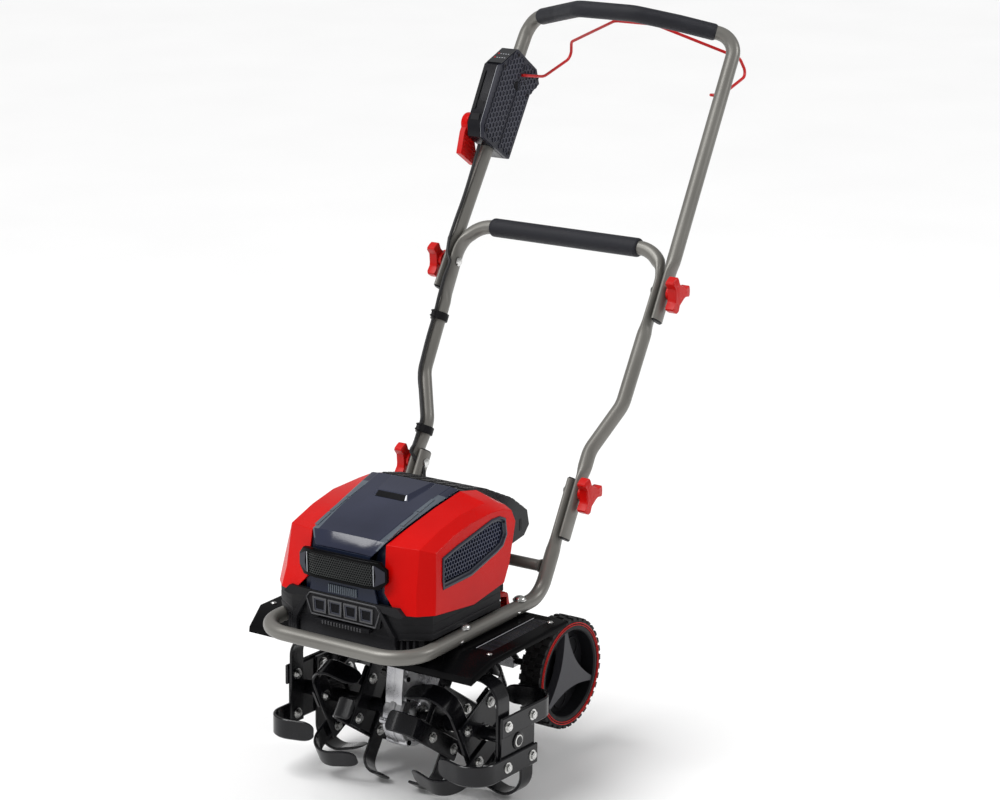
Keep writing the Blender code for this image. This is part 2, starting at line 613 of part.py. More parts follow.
axle_centre = Vector((0, WHEEL_Y, WHEEL_Z))
carrier = box("wheel_carrier", (-8, WHEEL_Y - 8, WHEEL_Z - 10), (8, WHEEL_Y + 8, 58), BLACK_STEEL, pivot=wheel_bar)
cut(carrier, prism("yoke", [(-66, WHEEL_Z - 11), (66, WHEEL_Z - 11), (66, WHEEL_Z + 4), (30, WHEEL_Z + 40),
                            (-30, WHEEL_Z + 40), (-66, WHEEL_Z + 4)], WHEEL_Y - 10, WHEEL_Y + 10, None, axis="Y",
                   pivot=wheel_bar), "UNION")
cut(carrier, rod("wheel_axle", axle_centre - Vector((187, 0, 0)), axle_centre + Vector((187, 0, 0)), 6.0, None,
                 pivot=wheel_bar), "UNION")
for side, sign in SIDES:
    for k, span in enumerate(((128.0, 132.0), (184.0, 187.5))):
        cut(carrier, side_rod(f"axle_collar_{side}_{k}", sign, span, axle_centre, 10.0, pivot=wheel_bar), "UNION")
    centre = (0, WHEEL_Y, WHEEL_Z)
    low, high = across(sign, 133.0, 183.0)
    face = sign * 168.0
    wheel_joint = joint_empty(f"wheel_{side}_axis", (sign * 158.0, WHEEL_Y, WHEEL_Z), wheel_bar)
    inner, outer = sign * 137.0, sign * 180.0
    rim = turned(f"wheel_rim_{side}", [
        (6.4, sign * 133.0), (18, sign * 133.0), (18, sign * 160.0), (78, sign * 160.0), (78, inner), (87, inner),
        (87, outer), (78, outer), (78, sign * 166.0), (18, sign * 166.0), (18, sign * 183.0), (6.4, sign * 183.0)],
        centre, GREY_PLASTIC, steps=28, pivot=wheel_joint)
    for k in range(3):
        turn = math.radians(36.0 + 120.0 * k)
        hole = (0, WHEEL_Y + 49 * math.cos(turn), WHEEL_Z + 49 * math.sin(turn))
        cut(rim, side_rod(f"rim_opening_{side}_{k}", sign, (150.0, 175.0), hole, 24.0, sides=12, pivot=wheel_joint))
    turned(f"tyre_{side}", [(87.3, inner), (96, inner), (WHEEL_R, sign * 143.0), (WHEEL_R, sign * 174.0), (96, outer),
                            (87.3, outer)], centre, RUBBER, steps=28, pivot=wheel_joint)

lever_joint = joint_empty("release_lever_pivot", LEVER_PIVOT)
lever = prism("release_lever", [(-42, -34), (-31, -34), (-33, -15), (-36, -4), (-39, 11), (-70, 17), (-70, 11),
                                (-44, 4.5), (-42.5, -10)], LEVER_X - 7, LEVER_X + 7, RED_PLASTIC, pivot=lever_joint)
cut(lever, rod("lever_pin", LEVER_PIVOT - Vector((11.5, 0, 0)), LEVER_PIVOT + Vector((11.8, 0, 0)), 2.5, None,
               sides=12, pivot=lever_joint), "UNION")

# ---- fold bolts and knobs -----------------------------------------------------------------------------
MIDDLE_LOW_X, MIDDLE_FOLD_X, MIDDLE_TOP_X = 173.0, 215.3, 216.6
UPPER_FOLD_X, UPPER_TOP_X = 230.9, 220.5


def carriage_bolt(name, sign, point, head, shank_end, joint):
    """Round head against the inner tube, shank through both tubes into the knob."""
    profile = [(0, sign * head), (8.5, sign * (head + 1.0)), (8.5, sign * (head + 3.6)), (3.9, sign * (head + 3.6)),
               (3.9, sign * shank_end), (0, sign * shank_end)]
    turned(name, profile, (0, point.y, point.z), ZINC, steps=12, pivot=joint)


def knob(name, sign, point, base, joint):
    """Three-lobed hand knob with a blind hole for its bolt."""
    holder = joint_empty(f"{name}_axis", (sign * (base + 12.0), point.y, point.z), joint)
    outline = []
    for k in range(18):
        a = 2 * math.pi * k / 18
        radius = 25.5 + 7.5 * math.cos(3 * a)
        outline.append((point.y + radius * math.cos(a), point.z + radius * math.sin(a)))
    made = prism(name, outline, *across(sign, base + 6.0, base + 24.0), RED_PLASTIC, pivot=holder)
    cut(made, side_rod(f"{name}_neck", sign, (base, base + 10.0), point, 13.0, pivot=holder), "UNION")
    cut(made, side_rod(f"{name}_bore", sign, (base - 5.0, base + 16.0), point, 4.2, sides=16, pivot=holder))


for side, sign in SIDES:
    lower_base = MIDDLE_LOW_X + 7.0 + GAP
    upper_base = UPPER_FOLD_X + 7.0 + 1.2
    carriage_bolt(f"fold_bolt_lower_{side}", sign, LOWER_PIVOT, FRAME_HALF - 8.0 - GAP - 3.6, lower_base + 14.0, None)
    carriage_bolt(f"fold_bolt_upper_{side}", sign, UPPER_PIVOT, MIDDLE_FOLD_X - 8.0 - GAP - 3.6, upper_base + 14.0,
                  middle_fold)
    knob(f"knob_lower_{side}", sign, LOWER_PIVOT, lower_base, None)
    knob(f"knob_upper_{side}", sign, UPPER_PIVOT, upper_base, middle_fold)

# ---- middle handle ------------------------------------------------------------------------------------
middle_path = fillet_path(
    [slope_point(-MIDDLE_LOW_X, 107), slope_point(-MIDDLE_LOW_X, 266), slope_point(-211, 355),
     slope_point(-MIDDLE_TOP_X, MIDDLE_TOP), slope_point(MIDDLE_TOP_X, MIDDLE_TOP), slope_point(211, 355),
     slope_point(MIDDLE_LOW_X, 266), slope_point(MIDDLE_LOW_X, 107)], [55, 55, 60, 60, 55, 55])
middle_path = add_stations(middle_path, (106.0, 118.0, 130.0, 385.0, 397.0, 409.0))
middle = tube_loft("middle_handle", middle_path, pressed([(0.0, 106.0), (409.0, 501.0)], (7.0, 16.4)), TUBE_PAINT,
                   pivot=middle_fold)
MIDDLE_BAR = slope_point(0, MIDDLE_TOP)
turned("foam_sleeve", [(17.0, 156.0), (17.0, -156.0), (13.0, -156.0), (13.0, 156.0)], MIDDLE_BAR, FOAM, steps=24,
       pivot=middle_fold)
for side, sign in SIDES:
    for label, point in (("lower", LOWER_PIVOT), ("upper", UPPER_PIVOT)):
        cut(middle, rod(f"middle_hole_{label}_{side}", (sign * 160, point.y, point.z), (sign * 240, point.y, point.z),
                        4.3, None, sides=16, pivot=middle_fold))

# ---- upper handle -------------------------------------------------------------------------------------
TOP_CORNER = Vector((UPPER_TOP_X, 544.2, 895.4))
GRIP = [Vector((127.3, 500.7, 919.6)), Vector((58.0, 457.7, 937.4))]
UPPER_END = upper_point(UPPER_FOLD_X + 0.6, -53.0)
half_path = [UPPER_END, TOP_CORNER] + GRIP
upper_corners = [Vector((-p.x, p.y, p.z)) for p in half_path] + list(reversed(half_path))
upper_path = fillet_path(upper_corners, [36, 60, 40, 40, 60, 36], step=18.0)
upper = tube_loft("upper_handle", add_stations(upper_path, (88.0, 100.0, 113.0)),
                  pressed([(0.0, 88.0)], (7.0, 16.0)), TUBE_PAINT, pivot=upper_fold)
for side, sign in SIDES:
    cut(upper, rod(f"upper_hole_{side}", (sign * 200, UPPER_PIVOT.y, UPPER_PIVOT.z),
                   (sign * 260, UPPER_PIVOT.y, UPPER_PIVOT.z), 4.3, None, sides=16, pivot=upper_fold))
    cut(upper, rod(f"bail_hole_{side}", (sign * 190, BAIL_PIVOT.y, BAIL_PIVOT.z),
                   (sign * 220, BAIL_PIVOT.y, BAIL_PIVOT.z), 3.3, None, sides=12, pivot=upper_fold))

grip_half = [TOP_CORNER + (GRIP[0] - TOP_CORNER).normalized() * 39.0] + GRIP
grip_corners = [Vector((-p.x, p.y, p.z)) for p in grip_half] + list(reversed(grip_half))
grip_path = fillet_path(grip_corners, [60, 40, 40, 60], step=18.0)
grip_rings = [tube_rings(grip_path, lambda d, total, r=radius: (r, r), 12) for radius in (16.0, 13.6)]
bm = bmesh.new()
outer_rows, inner_rows = [[[bm.verts.new(p) for p in ring] for ring in rings] for rings in grip_rings]
count = len(outer_rows[0])
for i in range(count):
    j = (i + 1) % count
    for rows in (outer_rows, inner_rows):
        for row, following in zip(rows, rows[1:]):
            bm.faces.new((row[i], row[j], following[j], following[i]))
    for end in (0, -1):
        outer, inner = outer_rows[end], inner_rows[end]
        bm.faces.new((outer[i], outer[j], inner[j], inner[i]))
from_bmesh("grip_foam", bm, FOAM, pivot=upper_fold)

# ---- switch box ---------------------------------------------------------------------------------------
BOX_CENTRE = 378.0
BOX_X = (-241.0, -203.5)
SIDE_OUTLINE = [(-18, -68), (31, -31), (25, 44), (5, 66), (-25, 48), (-154, 48), (-157, 42), (-153, -48), (-132, -62)]


def box_point(along, perp):
    point = upper_point(0, BOX_CENTRE + along) + UPPER_PERP * perp
    return (point.y, point.z)


front_outline = [box_point(a, p) for a, p in
                 ((-18, -68), (31, -31), (28.3, -SPLIT), (-155.1, -SPLIT), (-153, -48), (-132, -62))]
rear_box_outline = [box_point(a, p) for a, p in
                    ((28.2, SPLIT), (25, 44), (5, 66), (-25, 48), (-154, 48), (-157, 42), (-155.1, SPLIT))]


def on_leg(along, perp=0.0, shift=0.0):
    """Point beside the left leg of the upper handle, measured from the upper fold bolt."""
    share = (along + 53.0) / (TOP_CORNER - UPPER_END).length
    point = UPPER_END.lerp(TOP_CORNER, share)
    return Vector((-point.x + shift, point.y, point.z)) + UPPER_PERP * perp


for label, outline in (("front", front_outline), ("rear", rear_box_outline)):
    part = prism(f"switch_box_{label}", outline, *BOX_X, BLACK_PLASTIC if label == "front" else GREY_PLASTIC,
                 pivot=upper_fold)
    cut(part, rod(f"leg_channel_{label}", on_leg(178), on_leg(458), 13.2, None, sides=20, pivot=upper_fold))
    cut(part, rod(f"bail_channel_{label}", (-217, BAIL_PIVOT.y, BAIL_PIVOT.z), (-190, BAIL_PIVOT.y, BAIL_PIVOT.z),
                  3.3, None, sides=12, pivot=upper_fold))

slant_low, slant_high = Vector(box_point(-18, -68)), Vector(box_point(31, -31))
slant = (slant_high - slant_low).normalized()
outward = Vector((-slant.y, slant.x))
a, b = slant_low + slant * 5 + outward * GAP, slant_high - slant * 5 + outward * GAP
prism("display", [tuple(a), tuple(b), tuple(b + outward * 2.5), tuple(a + outward * 2.5)], -238.0, -206.5, SMOKED,
      pivot=upper_fold)

lock_point = Vector((-250.0, *box_point(-126, -44)))
lock_joint = joint_empty("lock_lever_pivot", lock_point, upper_fold)
lock = rod("lock_lever", (-241.4, lock_point.y, lock_point.z), (-259, lock_point.y, lock_point.z), 19.0, RED_PLASTIC,
           sides=24, pivot=lock_joint)
paddle = [box_point(s, p) for s, p in ((-120, -56), (-118, -32), (-150, -18), (-182, 12), (-190, 6), (-188, -46),
                                       (-150, -56))]
cut(lock, prism("paddle", paddle, -256.0, -244.5, None, pivot=lock_joint), "UNION")

# ---- bail ---------------------------------------------------------------------------------------------
bail_half = [Vector((213.0, BAIL_PIVOT.y, BAIL_PIVOT.z)), Vector((196.5, BAIL_PIVOT.y, BAIL_PIVOT.z)),
             Vector((190.5, 541.2, 791.0)), Vector((189.6, 633.9, 814.4)), Vector((181.0, 620.0, 846.0)),
             Vector((42.7, 554.0, 904.5))]
bail_corners = [Vector((-p.x, p.y, p.z)) for p in bail_half] + list(reversed(bail_half))
wire("bail_wire", fillet_path(bail_corners, [7, 40, 14, 14, 30, 30, 14, 14, 40, 7], step=36.0), 2.75, RED_WIRE,
     pivot=bail_pivot)

# ---- cable and its clips ------------------------------------------------------------------------------


def middle_leg_x(along):
    """Distance of the middle handle's leg from the centre plane."""
    if along < 266:
        return MIDDLE_LOW_X
    if along < 355:
        return MIDDLE_LOW_X + (211 - MIDDLE_LOW_X) * (along - 266) / 89.0
    return 211 + (MIDDLE_TOP_X - 211) * (along - 355) / (MIDDLE_TOP - 355)


MIDDLE_PERP = Vector((0, math.sin(HANDLE_SLOPE), -math.cos(HANDLE_SLOPE)))
clip_hole = {}
for label, along in (("high", 458.0), ("low", 248.0)):
    centre = slope_point(-middle_leg_x(along), along)
    across_leg = (slope_point(-middle_leg_x(along + 5), along + 5) - slope_point(-middle_leg_x(along - 5), along - 5))
    across_leg.normalize()
    clip = rod(f"cable_clip_{label}", centre - across_leg * 7, centre + across_leg * 7, 16.0, BLACK_PLASTIC, sides=24,
               pivot=middle_fold)
    hole_centre = centre - MIDDLE_PERP * 18.0
    cut(clip, rod(f"clip_lobe_{label}", hole_centre - across_leg * 6.4, hole_centre + across_leg * 6.4, 6.0, None,
                  sides=16, pivot=middle_fold), "UNION")
    for kind, point, radius in (("tube", centre, 13.2), ("cable", hole_centre, 3.7)):
        cut(clip, rod(f"clip_{kind}_{label}", point - across_leg * 20, point + across_leg * 20, radius, None, sides=20,
                      pivot=middle_fold))
    clip_hole[label] = (hole_centre, across_leg)

CABLE_R = 3.0


def beside_middle(along, off, shift=0.0):
    return slope_point(-middle_leg_x(along) + shift, along) - MIDDLE_PERP * off


route = [beside_middle(214, 19.0), beside_middle(222, 18.2)]
for label, mids in (("low", [beside_middle(a, 18.3) for a in (272, 305, 345, 400)]), ("high", [])):
    point, direction = clip_hole[label]
    route += [point - direction * 12, point + direction * 12] + mids
route += [beside_middle(490, 19.5), beside_middle(530, 20.5)]
wire("cable_middle", smooth_route(route, 2), CABLE_R, BLACK_PLASTIC, pivot=middle_fold)


wire("cable_upper", smooth_route([on_leg(34, -20.5, 1), on_leg(70, -19.5), on_leg(120, -18.5), on_leg(180, -22),
                                  on_leg(219, -26)], 3), CABLE_R, BLACK_PLASTIC,
     pivot=upper_fold)
wire("cable_lower", smooth_route([(-145, 84, 143), (-141, 62, 124), (-128, 20, 112), (-114, -22, 114),
                                  (-108, -45, 118)], 3), CABLE_R, BLACK_PLASTIC)
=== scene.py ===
"""Looks of the cordless garden tiller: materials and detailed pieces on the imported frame.

Shapes are written in millimetres from the datum (centre plane, rear bend of the rails, rails' centreline)
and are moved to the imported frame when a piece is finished.
"""
import math

import bmesh
import bpy
from mathutils import Matrix, Vector

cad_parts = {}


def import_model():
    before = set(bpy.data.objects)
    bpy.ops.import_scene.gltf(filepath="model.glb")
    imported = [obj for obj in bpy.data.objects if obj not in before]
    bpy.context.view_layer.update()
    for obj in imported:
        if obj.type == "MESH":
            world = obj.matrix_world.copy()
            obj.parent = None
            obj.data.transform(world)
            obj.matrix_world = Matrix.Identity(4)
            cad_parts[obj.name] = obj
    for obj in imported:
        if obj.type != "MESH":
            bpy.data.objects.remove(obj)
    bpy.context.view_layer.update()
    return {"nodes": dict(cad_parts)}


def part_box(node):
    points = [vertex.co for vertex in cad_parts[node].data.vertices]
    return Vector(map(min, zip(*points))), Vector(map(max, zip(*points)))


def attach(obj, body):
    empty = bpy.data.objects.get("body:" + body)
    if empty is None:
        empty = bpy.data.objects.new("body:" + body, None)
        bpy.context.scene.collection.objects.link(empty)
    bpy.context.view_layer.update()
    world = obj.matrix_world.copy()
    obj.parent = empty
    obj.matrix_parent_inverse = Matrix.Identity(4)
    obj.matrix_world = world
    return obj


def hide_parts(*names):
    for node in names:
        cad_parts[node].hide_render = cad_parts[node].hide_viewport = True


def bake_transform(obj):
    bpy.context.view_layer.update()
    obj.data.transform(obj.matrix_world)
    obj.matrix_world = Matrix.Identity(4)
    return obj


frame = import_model()

frame_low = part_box("main_frame")[0]
DATUM = Vector((0, frame_low[1] + 0.3957, frame_low[2] + 0.0127))
TO_WORLD = Matrix.Translation(DATUM) @ Matrix.Scale(0.001, 4)

# ---- dimensions shared with the solids (millimetres) --------------------------------------------------
TUBE_R = 12.7
FRAME_HALF, FRONT_BAR_Y = 157.5, -383
HANDLE_SLOPE, UPPER_SLOPE = math.radians(59.6), math.radians(57.5)
STUB_LENGTH, LOWER_FOLD, UPPER_FOLD, MIDDLE_TOP = 210, 190, 565, 638
AXLE = Vector((0, -168.2, -192.2))
WHEEL = Vector((0, 61.1, -156.4))
STAR_X, STAR_PHASE = (78, 150, 223), (-35, 25, -2)
HALF_PITCH, BLADE_REACH = 36.4, 112
DECK_TOP = -13
SIDES = (("left", -1), ("right", 1))


# ---- materials ----------------------------------------------------------------------------------------
def material(name, base, dark, rough, grain, bump, metallic=0, patch=9, depth=0.0002, cells=False,
             gloss=0.4):
    """Principled material with patchy colour, grain-driven roughness and a fine bump."""
    mat = bpy.data.materials.new(name)
    mat.use_nodes = True
    nodes, links = mat.node_tree.nodes, mat.node_tree.links
    shader = nodes["Principled BSDF"]

    def add(kind, **values):
        node = nodes.new("ShaderNode" + kind)
        for key, value in values.items():
            node.inputs[key.replace("_", " ")].default_value = value
        return node

    shader.inputs["Metallic"].default_value = metallic
    shader.inputs["Specular IOR Level"].default_value = gloss
    coord = add("TexCoord")
    large = add("TexNoise", Scale=patch, Detail=5)
    fine = add("TexVoronoi", Scale=grain) if cells else add("TexNoise", Scale=grain, Detail=4)
    fine_out = fine.outputs["Distance" if cells else "Fac"]
    for node in (large, fine):
        links.new(coord.outputs["Object"], node.inputs["Vector"])
    ramp = add("ValToRGB")
    for element, position, colour in zip(ramp.color_ramp.elements, (0.32, 0.68), (dark, base)):
        element.position = position
        element.color = (*colour, 1)
    links.new(large.outputs["Fac"], ramp.inputs["Fac"])
    links.new(ramp.outputs["Color"], shader.inputs["Base Color"])
    spread = add("MapRange", From_Min=0.3, From_Max=0.7, To_Min=rough[0], To_Max=rough[1])
    half, mixed = add("Math"), add("Math")
    half.operation, mixed.operation = "MULTIPLY", "MULTIPLY_ADD"
    half.inputs[1].default_value = mixed.inputs[1].default_value = 0.5
    links.new(large.outputs["Fac"], half.inputs[0])
    links.new(fine_out, mixed.inputs[0])
    links.new(half.outputs[0], mixed.inputs[2])
    links.new(mixed.outputs[0], spread.inputs["Value"])
    links.new(spread.outputs["Result"], shader.inputs["Roughness"])
    relief = add("Bump", Strength=bump, Distance=depth)
    links.new(fine_out, relief.inputs["Height"])
    links.new(relief.outputs["Normal"], shader.inputs["Normal"])
    return mat


TUBE = material("warm_grey_satin_tube", (0.196, 0.19, 0.174), (0.168, 0.162, 0.148), (0.32, 0.44), 1400,
                0.12, metallic=0.35)
RED = material("red_gloss_plastic", (0.6, 0.003, 0.002), (0.53, 0.0025, 0.0018), (0.2, 0.32), 1500, 0.05,
               gloss=0.13)
RED_GRIP = material("red_moulded_plastic", (0.58, 0.004, 0.003), (0.48, 0.003, 0.002), (0.28, 0.42), 1300,
                    0.12, gloss=0.25)
BLACK = material("gloss_black_paint", (0.002, 0.002, 0.0022), (0.004, 0.004, 0.0045), (0.12, 0.24), 800,
                 0.06, gloss=0.05)
TINE = material("black_tine_steel", (0.004, 0.004, 0.005), (0.009, 0.009, 0.011), (0.12, 0.26), 500, 0.1,
                patch=26, depth=0.0003, gloss=0.3)
PLASTIC = material("black_textured_plastic", (0.006, 0.006, 0.007), (0.01, 0.01, 0.012), (0.36, 0.54), 1600,
                   0.25, gloss=0.16)
NAVY = material("navy_black_plastic", (0.008, 0.012, 0.028), (0.012, 0.018, 0.038), (0.16, 0.3), 1500, 0.12,
                gloss=0.2)
CHARCOAL = material("blue_charcoal_plastic", (0.017, 0.018, 0.03), (0.012, 0.013, 0.022), (0.34, 0.5), 1500,
                    0.2, gloss=0.3)
BOX_GRID = material("box_lattice_plastic", (0.034, 0.036, 0.056), (0.026, 0.028, 0.045), (0.3, 0.45), 1500,
                    0.15)
GREY = material("grey_plastic", (0.075, 0.075, 0.08), (0.055, 0.055, 0.06), (0.3, 0.45), 1500, 0.2)
STAR_GREY = material("wheel_star_grey", (0.042, 0.042, 0.05), (0.033, 0.033, 0.039), (0.36, 0.5), 1500, 0.25,
                     gloss=0.3)
PALE = material("pale_grey_trim", (0.5, 0.51, 0.54), (0.4, 0.41, 0.44), (0.25, 0.38), 1500, 0.1,
                metallic=0.2)
MESH = material("dark_honeycomb", (0.03, 0.036, 0.075), (0.02, 0.025, 0.055), (0.25, 0.4), 1500, 0.12)
MESH_BLACK = material("black_honeycomb", (0.03, 0.033, 0.032), (0.018, 0.02, 0.02), (0.25, 0.4), 1500, 0.12,
                      metallic=0.1)
GREY_BLUE = material("dark_frame_grey", (0.022, 0.025, 0.042), (0.015, 0.017, 0.03), (0.18, 0.3), 1500, 0.12)
GLOSSY = material("semi_gloss_black", (0.005, 0.005, 0.007), (0.009, 0.009, 0.012), (0.2, 0.34), 1500, 0.15,
                  gloss=0.2)
# painted shade: near-black discs and sheets put in holes, sockets, recesses and behind openings in place of
# their shade
HOLE_SHADE = material("painted_hole_shade", (0.003, 0.003, 0.004), (0.006, 0.006, 0.008), (0.7, 0.9), 900, 0.1, gloss=0.2)
SMOKED = material("smoked_cover", (0.02, 0.024, 0.05), (0.012, 0.015, 0.034), (0.07, 0.16), 700, 0.03,
                  gloss=0.5)
# lighter smoke grey: a painted reflection on the cover's side bevels and their panes; also the grille's vent
# slats
SMOKE_GREY_AND_SHEEN = material("smoke_grey_and_painted_sheen", (0.1, 0.12, 0.145), (0.07, 0.085, 0.105), (0.12, 0.25), 700,
                       0.03)
FOAM = material("charcoal_foam", (0.013, 0.0135, 0.019), (0.009, 0.0095, 0.014), (0.4, 0.6), 1500, 0.5,
                depth=0.0006, cells=True, gloss=0.3)
RUBBER = material("tyre_rubber", (0.007, 0.007, 0.008), (0.013, 0.0125, 0.0125), (0.45, 0.7), 1100, 0.3,
                  depth=0.0004, gloss=0.25)
ZINC = material("zinc_plate", (0.72, 0.72, 0.71), (0.5, 0.5, 0.48), (0.18, 0.36), 700, 0.15, patch=120,
                metallic=1)
CAST = material("cast_aluminium", (0.6, 0.6, 0.61), (0.36, 0.36, 0.38), (0.2, 0.42), 700, 0.35, depth=0.0005,
                patch=30, metallic=0.9)
BAIL = material("dark_red_wire", (0.5, 0.004, 0.005), (0.4, 0.003, 0.004), (0.25, 0.4), 1300, 0.12)
CABLE = material("cable_sheath", (0.008, 0.008, 0.009), (0.014, 0.014, 0.015), (0.42, 0.6), 1600, 0.25)
DISPLAY = material("display_glass", (0.005, 0.006, 0.008), (0.008, 0.009, 0.013), (0.04, 0.1), 600, 0.02,
                   gloss=0.6)
BRONZE = material("bronze", (0.5, 0.32, 0.13), (0.4, 0.25, 0.1), (0.3, 0.45), 800, 0.15, metallic=1)
BOARD = material("circuit_board", (0.01, 0.09, 0.03), (0.01, 0.06, 0.02), (0.35, 0.5), 700, 0.25)

CAD_LOOKS = {"bearing_left": ZINC, "bearing_right": ZINC, "worm_wheel": BRONZE, "worm_shaft": BRONZE,
             "motor_can": GREY, "control_board": BOARD, "battery_tray": GREY, "battery_left": PLASTIC,
             "battery_right": PLASTIC}
for node, look in CAD_LOOKS.items():
    target = frame["nodes"][node]
    target.data.materials.clear()
    target.data.materials.append(look)


# ---- shape helpers ------------------------------------------------------------------------------------
def round_edges(obj, width, segments, angle):
    """Bevel, its width in millimetres, on the edges sharper than an angle."""
    modifier = obj.modifiers.new("edges", "BEVEL")
    modifier.width = width * 0.001
    modifier.segments = segments
    modifier.limit_method = "ANGLE"
    modifier.angle_limit = math.radians(angle)
    modifier.harden_normals = True


class Piece:
    """Collects shapes in datum millimetres into one object; sign -1 mirrors it to the left side."""

    def __init__(self, sign=1):
        self.sign = sign
        self.bm = bmesh.new()
        self.mats = []

    def paint(self, faces, mat):
        if mat not in self.mats:
            self.mats.append(mat)
        for face in faces:
            face.material_index = self.mats.index(mat)

    def _made(self, verts, mat):
        self.paint({face for vert in verts for face in vert.link_faces}, mat)
        return verts

    def box(self, low, high, mat, turn=None):
        low, high = Vector(low), Vector(high)
        verts = bmesh.ops.create_cube(self.bm, size=1)["verts"]
        bmesh.ops.scale(self.bm, vec=high - low, verts=verts)
        if turn:
            bmesh.ops.rotate(self.bm, cent=(0, 0, 0), matrix=turn, verts=verts)
        bmesh.ops.translate(self.bm, vec=(low + high) / 2, verts=verts)
        return self._made(verts, mat)

    def rod(self, start, end, radius, mat, sides=32, radius_end=None):
        start, end = Vector(start), Vector(end)
        axis = end - start
        verts = bmesh.ops.create_cone(self.bm, cap_ends=True, segments=sides, radius1=radius,
                                      depth=axis.length,
                                      radius2=radius if radius_end is None else radius_end)["verts"]
        bmesh.ops.rotate(self.bm, cent=(0, 0, 0), matrix=axis.to_track_quat("Z", "Y").to_matrix(),
                         verts=verts)
        bmesh.ops.translate(self.bm, vec=(start + end) / 2, verts=verts)
        return self._made(verts, mat)

    def loft(self, rings, mat, caps=True, close=False, open_rings=False):
        """Skin over rings of points; close joins the last ring to the first, open_rings are strips."""
        rows = [[self.bm.verts.new(point) for point in ring] for ring in rings]
        if close:
            rows.append(rows[0])
        faces, count = [], len(rows[0])
        for row, after in zip(rows, rows[1:]):
            for i in range(count - 1 if open_rings else count):
                j = (i + 1) % count
                faces.append(self.bm.faces.new((row[i], row[j], after[j], after[i])))
        if caps and not close:
            faces += [self.bm.faces.new(rows[0]), self.bm.faces.new(rows[-1])]
        self.paint(faces, mat)
        return faces

    def lathe(self, profile, centre, mat, axis="X", steps=48, closed=True):
        """Turn (radius, along) points about an axis through centre."""
        centre = Vector(centre)
        rings = []
        for k in range(steps):
            a = 2 * math.pi * k / steps
            c, s = math.cos(a), math.sin(a)
            place = {"X": lambda r, w: (w, r * c, r * s), "Z": lambda r, w: (r * c, r * s, w)}[axis]
            rings.append([Vector(place(r, w)) + centre for r, w in profile])
        return self.loft(rings, mat, close=True, open_rings=not closed)

    def prism(self, outline, low, high, mat, axis="X", place=None):
        order = {"X": lambda u, v, w: (w, u, v), "Y": lambda u, v, w: (u, w, v), "Z": lambda u, v,
                 w: (u, v, w)}[axis]
        rings = [[order(u, v, level) for u, v in outline] for level in (low, high)]
        if place:
            rings = [[place @ Vector(p) for p in ring] for ring in rings]
        return self.loft(rings, mat)

    def done(self, name, body, slot, stands_for=(), bevel=0, segments=2, angle=32, cross=None):
        self.bm.transform(TO_WORLD @ Matrix.Scale(self.sign, 4, (1, 0, 0)))
        bmesh.ops.recalc_face_normals(self.bm, faces=self.bm.faces)
        mesh = bpy.data.meshes.new(name)
        self.bm.to_mesh(mesh)
        self.bm.free()
        obj = bpy.data.objects.new(name, mesh)
        bpy.context.scene.collection.objects.link(obj)
        for mat in self.mats:
            mesh.materials.append(mat)
        mesh.shade_smooth()
        if bevel:
            round_edges(obj, bevel, segments, angle)
        else:
            mesh.set_sharp_from_angle(angle=math.radians(angle))
        if stands_for:
            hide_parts(*([stands_for] if isinstance(stands_for, str) else stands_for))
        if cross:
            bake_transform(obj)
        else:
            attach(obj, body)
        return obj


def world(point):
    return TO_WORLD @ Vector(point)


def slope_point(x, along, slope=HANDLE_SLOPE, start=(0, 0)):
    return Vector((x, start[0] + along * math.cos(slope), start[1] + along * math.sin(slope)))


LOWER_PIVOT, UPPER_PIVOT = slope_point(0, LOWER_FOLD), slope_point(0, UPPER_FOLD)
MIDDLE_PERP = Vector((0, math.sin(HANDLE_SLOPE), -math.cos(HANDLE_SLOPE)))
UPPER_PERP = Vector((0, math.sin(UPPER_SLOPE), -math.cos(UPPER_SLOPE)))


def upper_point(x, along):
    return slope_point(x, along, UPPER_SLOPE, (UPPER_PIVOT.y, UPPER_PIVOT.z))


BAIL_PIVOT = upper_point(0, 373) + UPPER_PERP * 4


def fillet_path(corners, radii, step=6):
    """Polyline through corners whose inner corners are rounded with the given bend radii."""
    corners = [Vector(c) for c in corners]
    path = [corners[0]]
    for before, corner, after, radius in zip(corners, corners[1:], corners[2:], radii):
        into, out = (before - corner).normalized(), (after - corner).normalized()
        opening = into.angle(out)
        turn = math.pi - opening
        if turn < math.radians(2):
            path.append(corner)
            continue
        centre = corner + (into + out).normalized() * (radius / math.sin(opening / 2))
        reach = radius / math.tan(opening / 2)
        first, last = corner + into * reach - centre, corner + out * reach - centre
        steps = max(2, round(math.degrees(turn) / step))
        for k in range(steps + 1):
            path.append(centre + first.normalized().slerp(last.normalized(), k / steps) * radius)
    path.append(corners[-1])
    return path


def evenly(path, spacing=9):
    """The same path with points no further apart than the spacing."""
    out = [path[0]]
    for a, b in zip(path, path[1:]):
        parts = max(1, math.ceil((b - a).length / spacing))
        out += [a.lerp(b, k / parts) for k in range(1, parts + 1)]
    return out


def rings_along(path, half_sizes, sides=32, flat_axis=(1, 0, 0)):
    """Oval rings along a path; half_sizes(distance, total) gives their sizes on flat_axis and across."""
    thin = Vector(flat_axis)
    lengths = [0]
    for a, b in zip(path, path[1:]):
        lengths.append(lengths[-1] + (b - a).length)
    rings = []
    for i, point in enumerate(path):
        tangent = (path[min(i + 1, len(path) - 1)] - path[max(i - 1, 0)]).normalized()
        thin = (thin - tangent * thin.dot(tangent)).normalized()
        wide = tangent.cross(thin)
        half_thin, half_wide = half_sizes(lengths[i], lengths[-1])
        rings.append([point + thin * (half_thin * math.cos(a)) + wide * (half_wide * math.sin(a))
                      for a in (2 * math.pi * k / sides for k in range(sides))])
    return rings


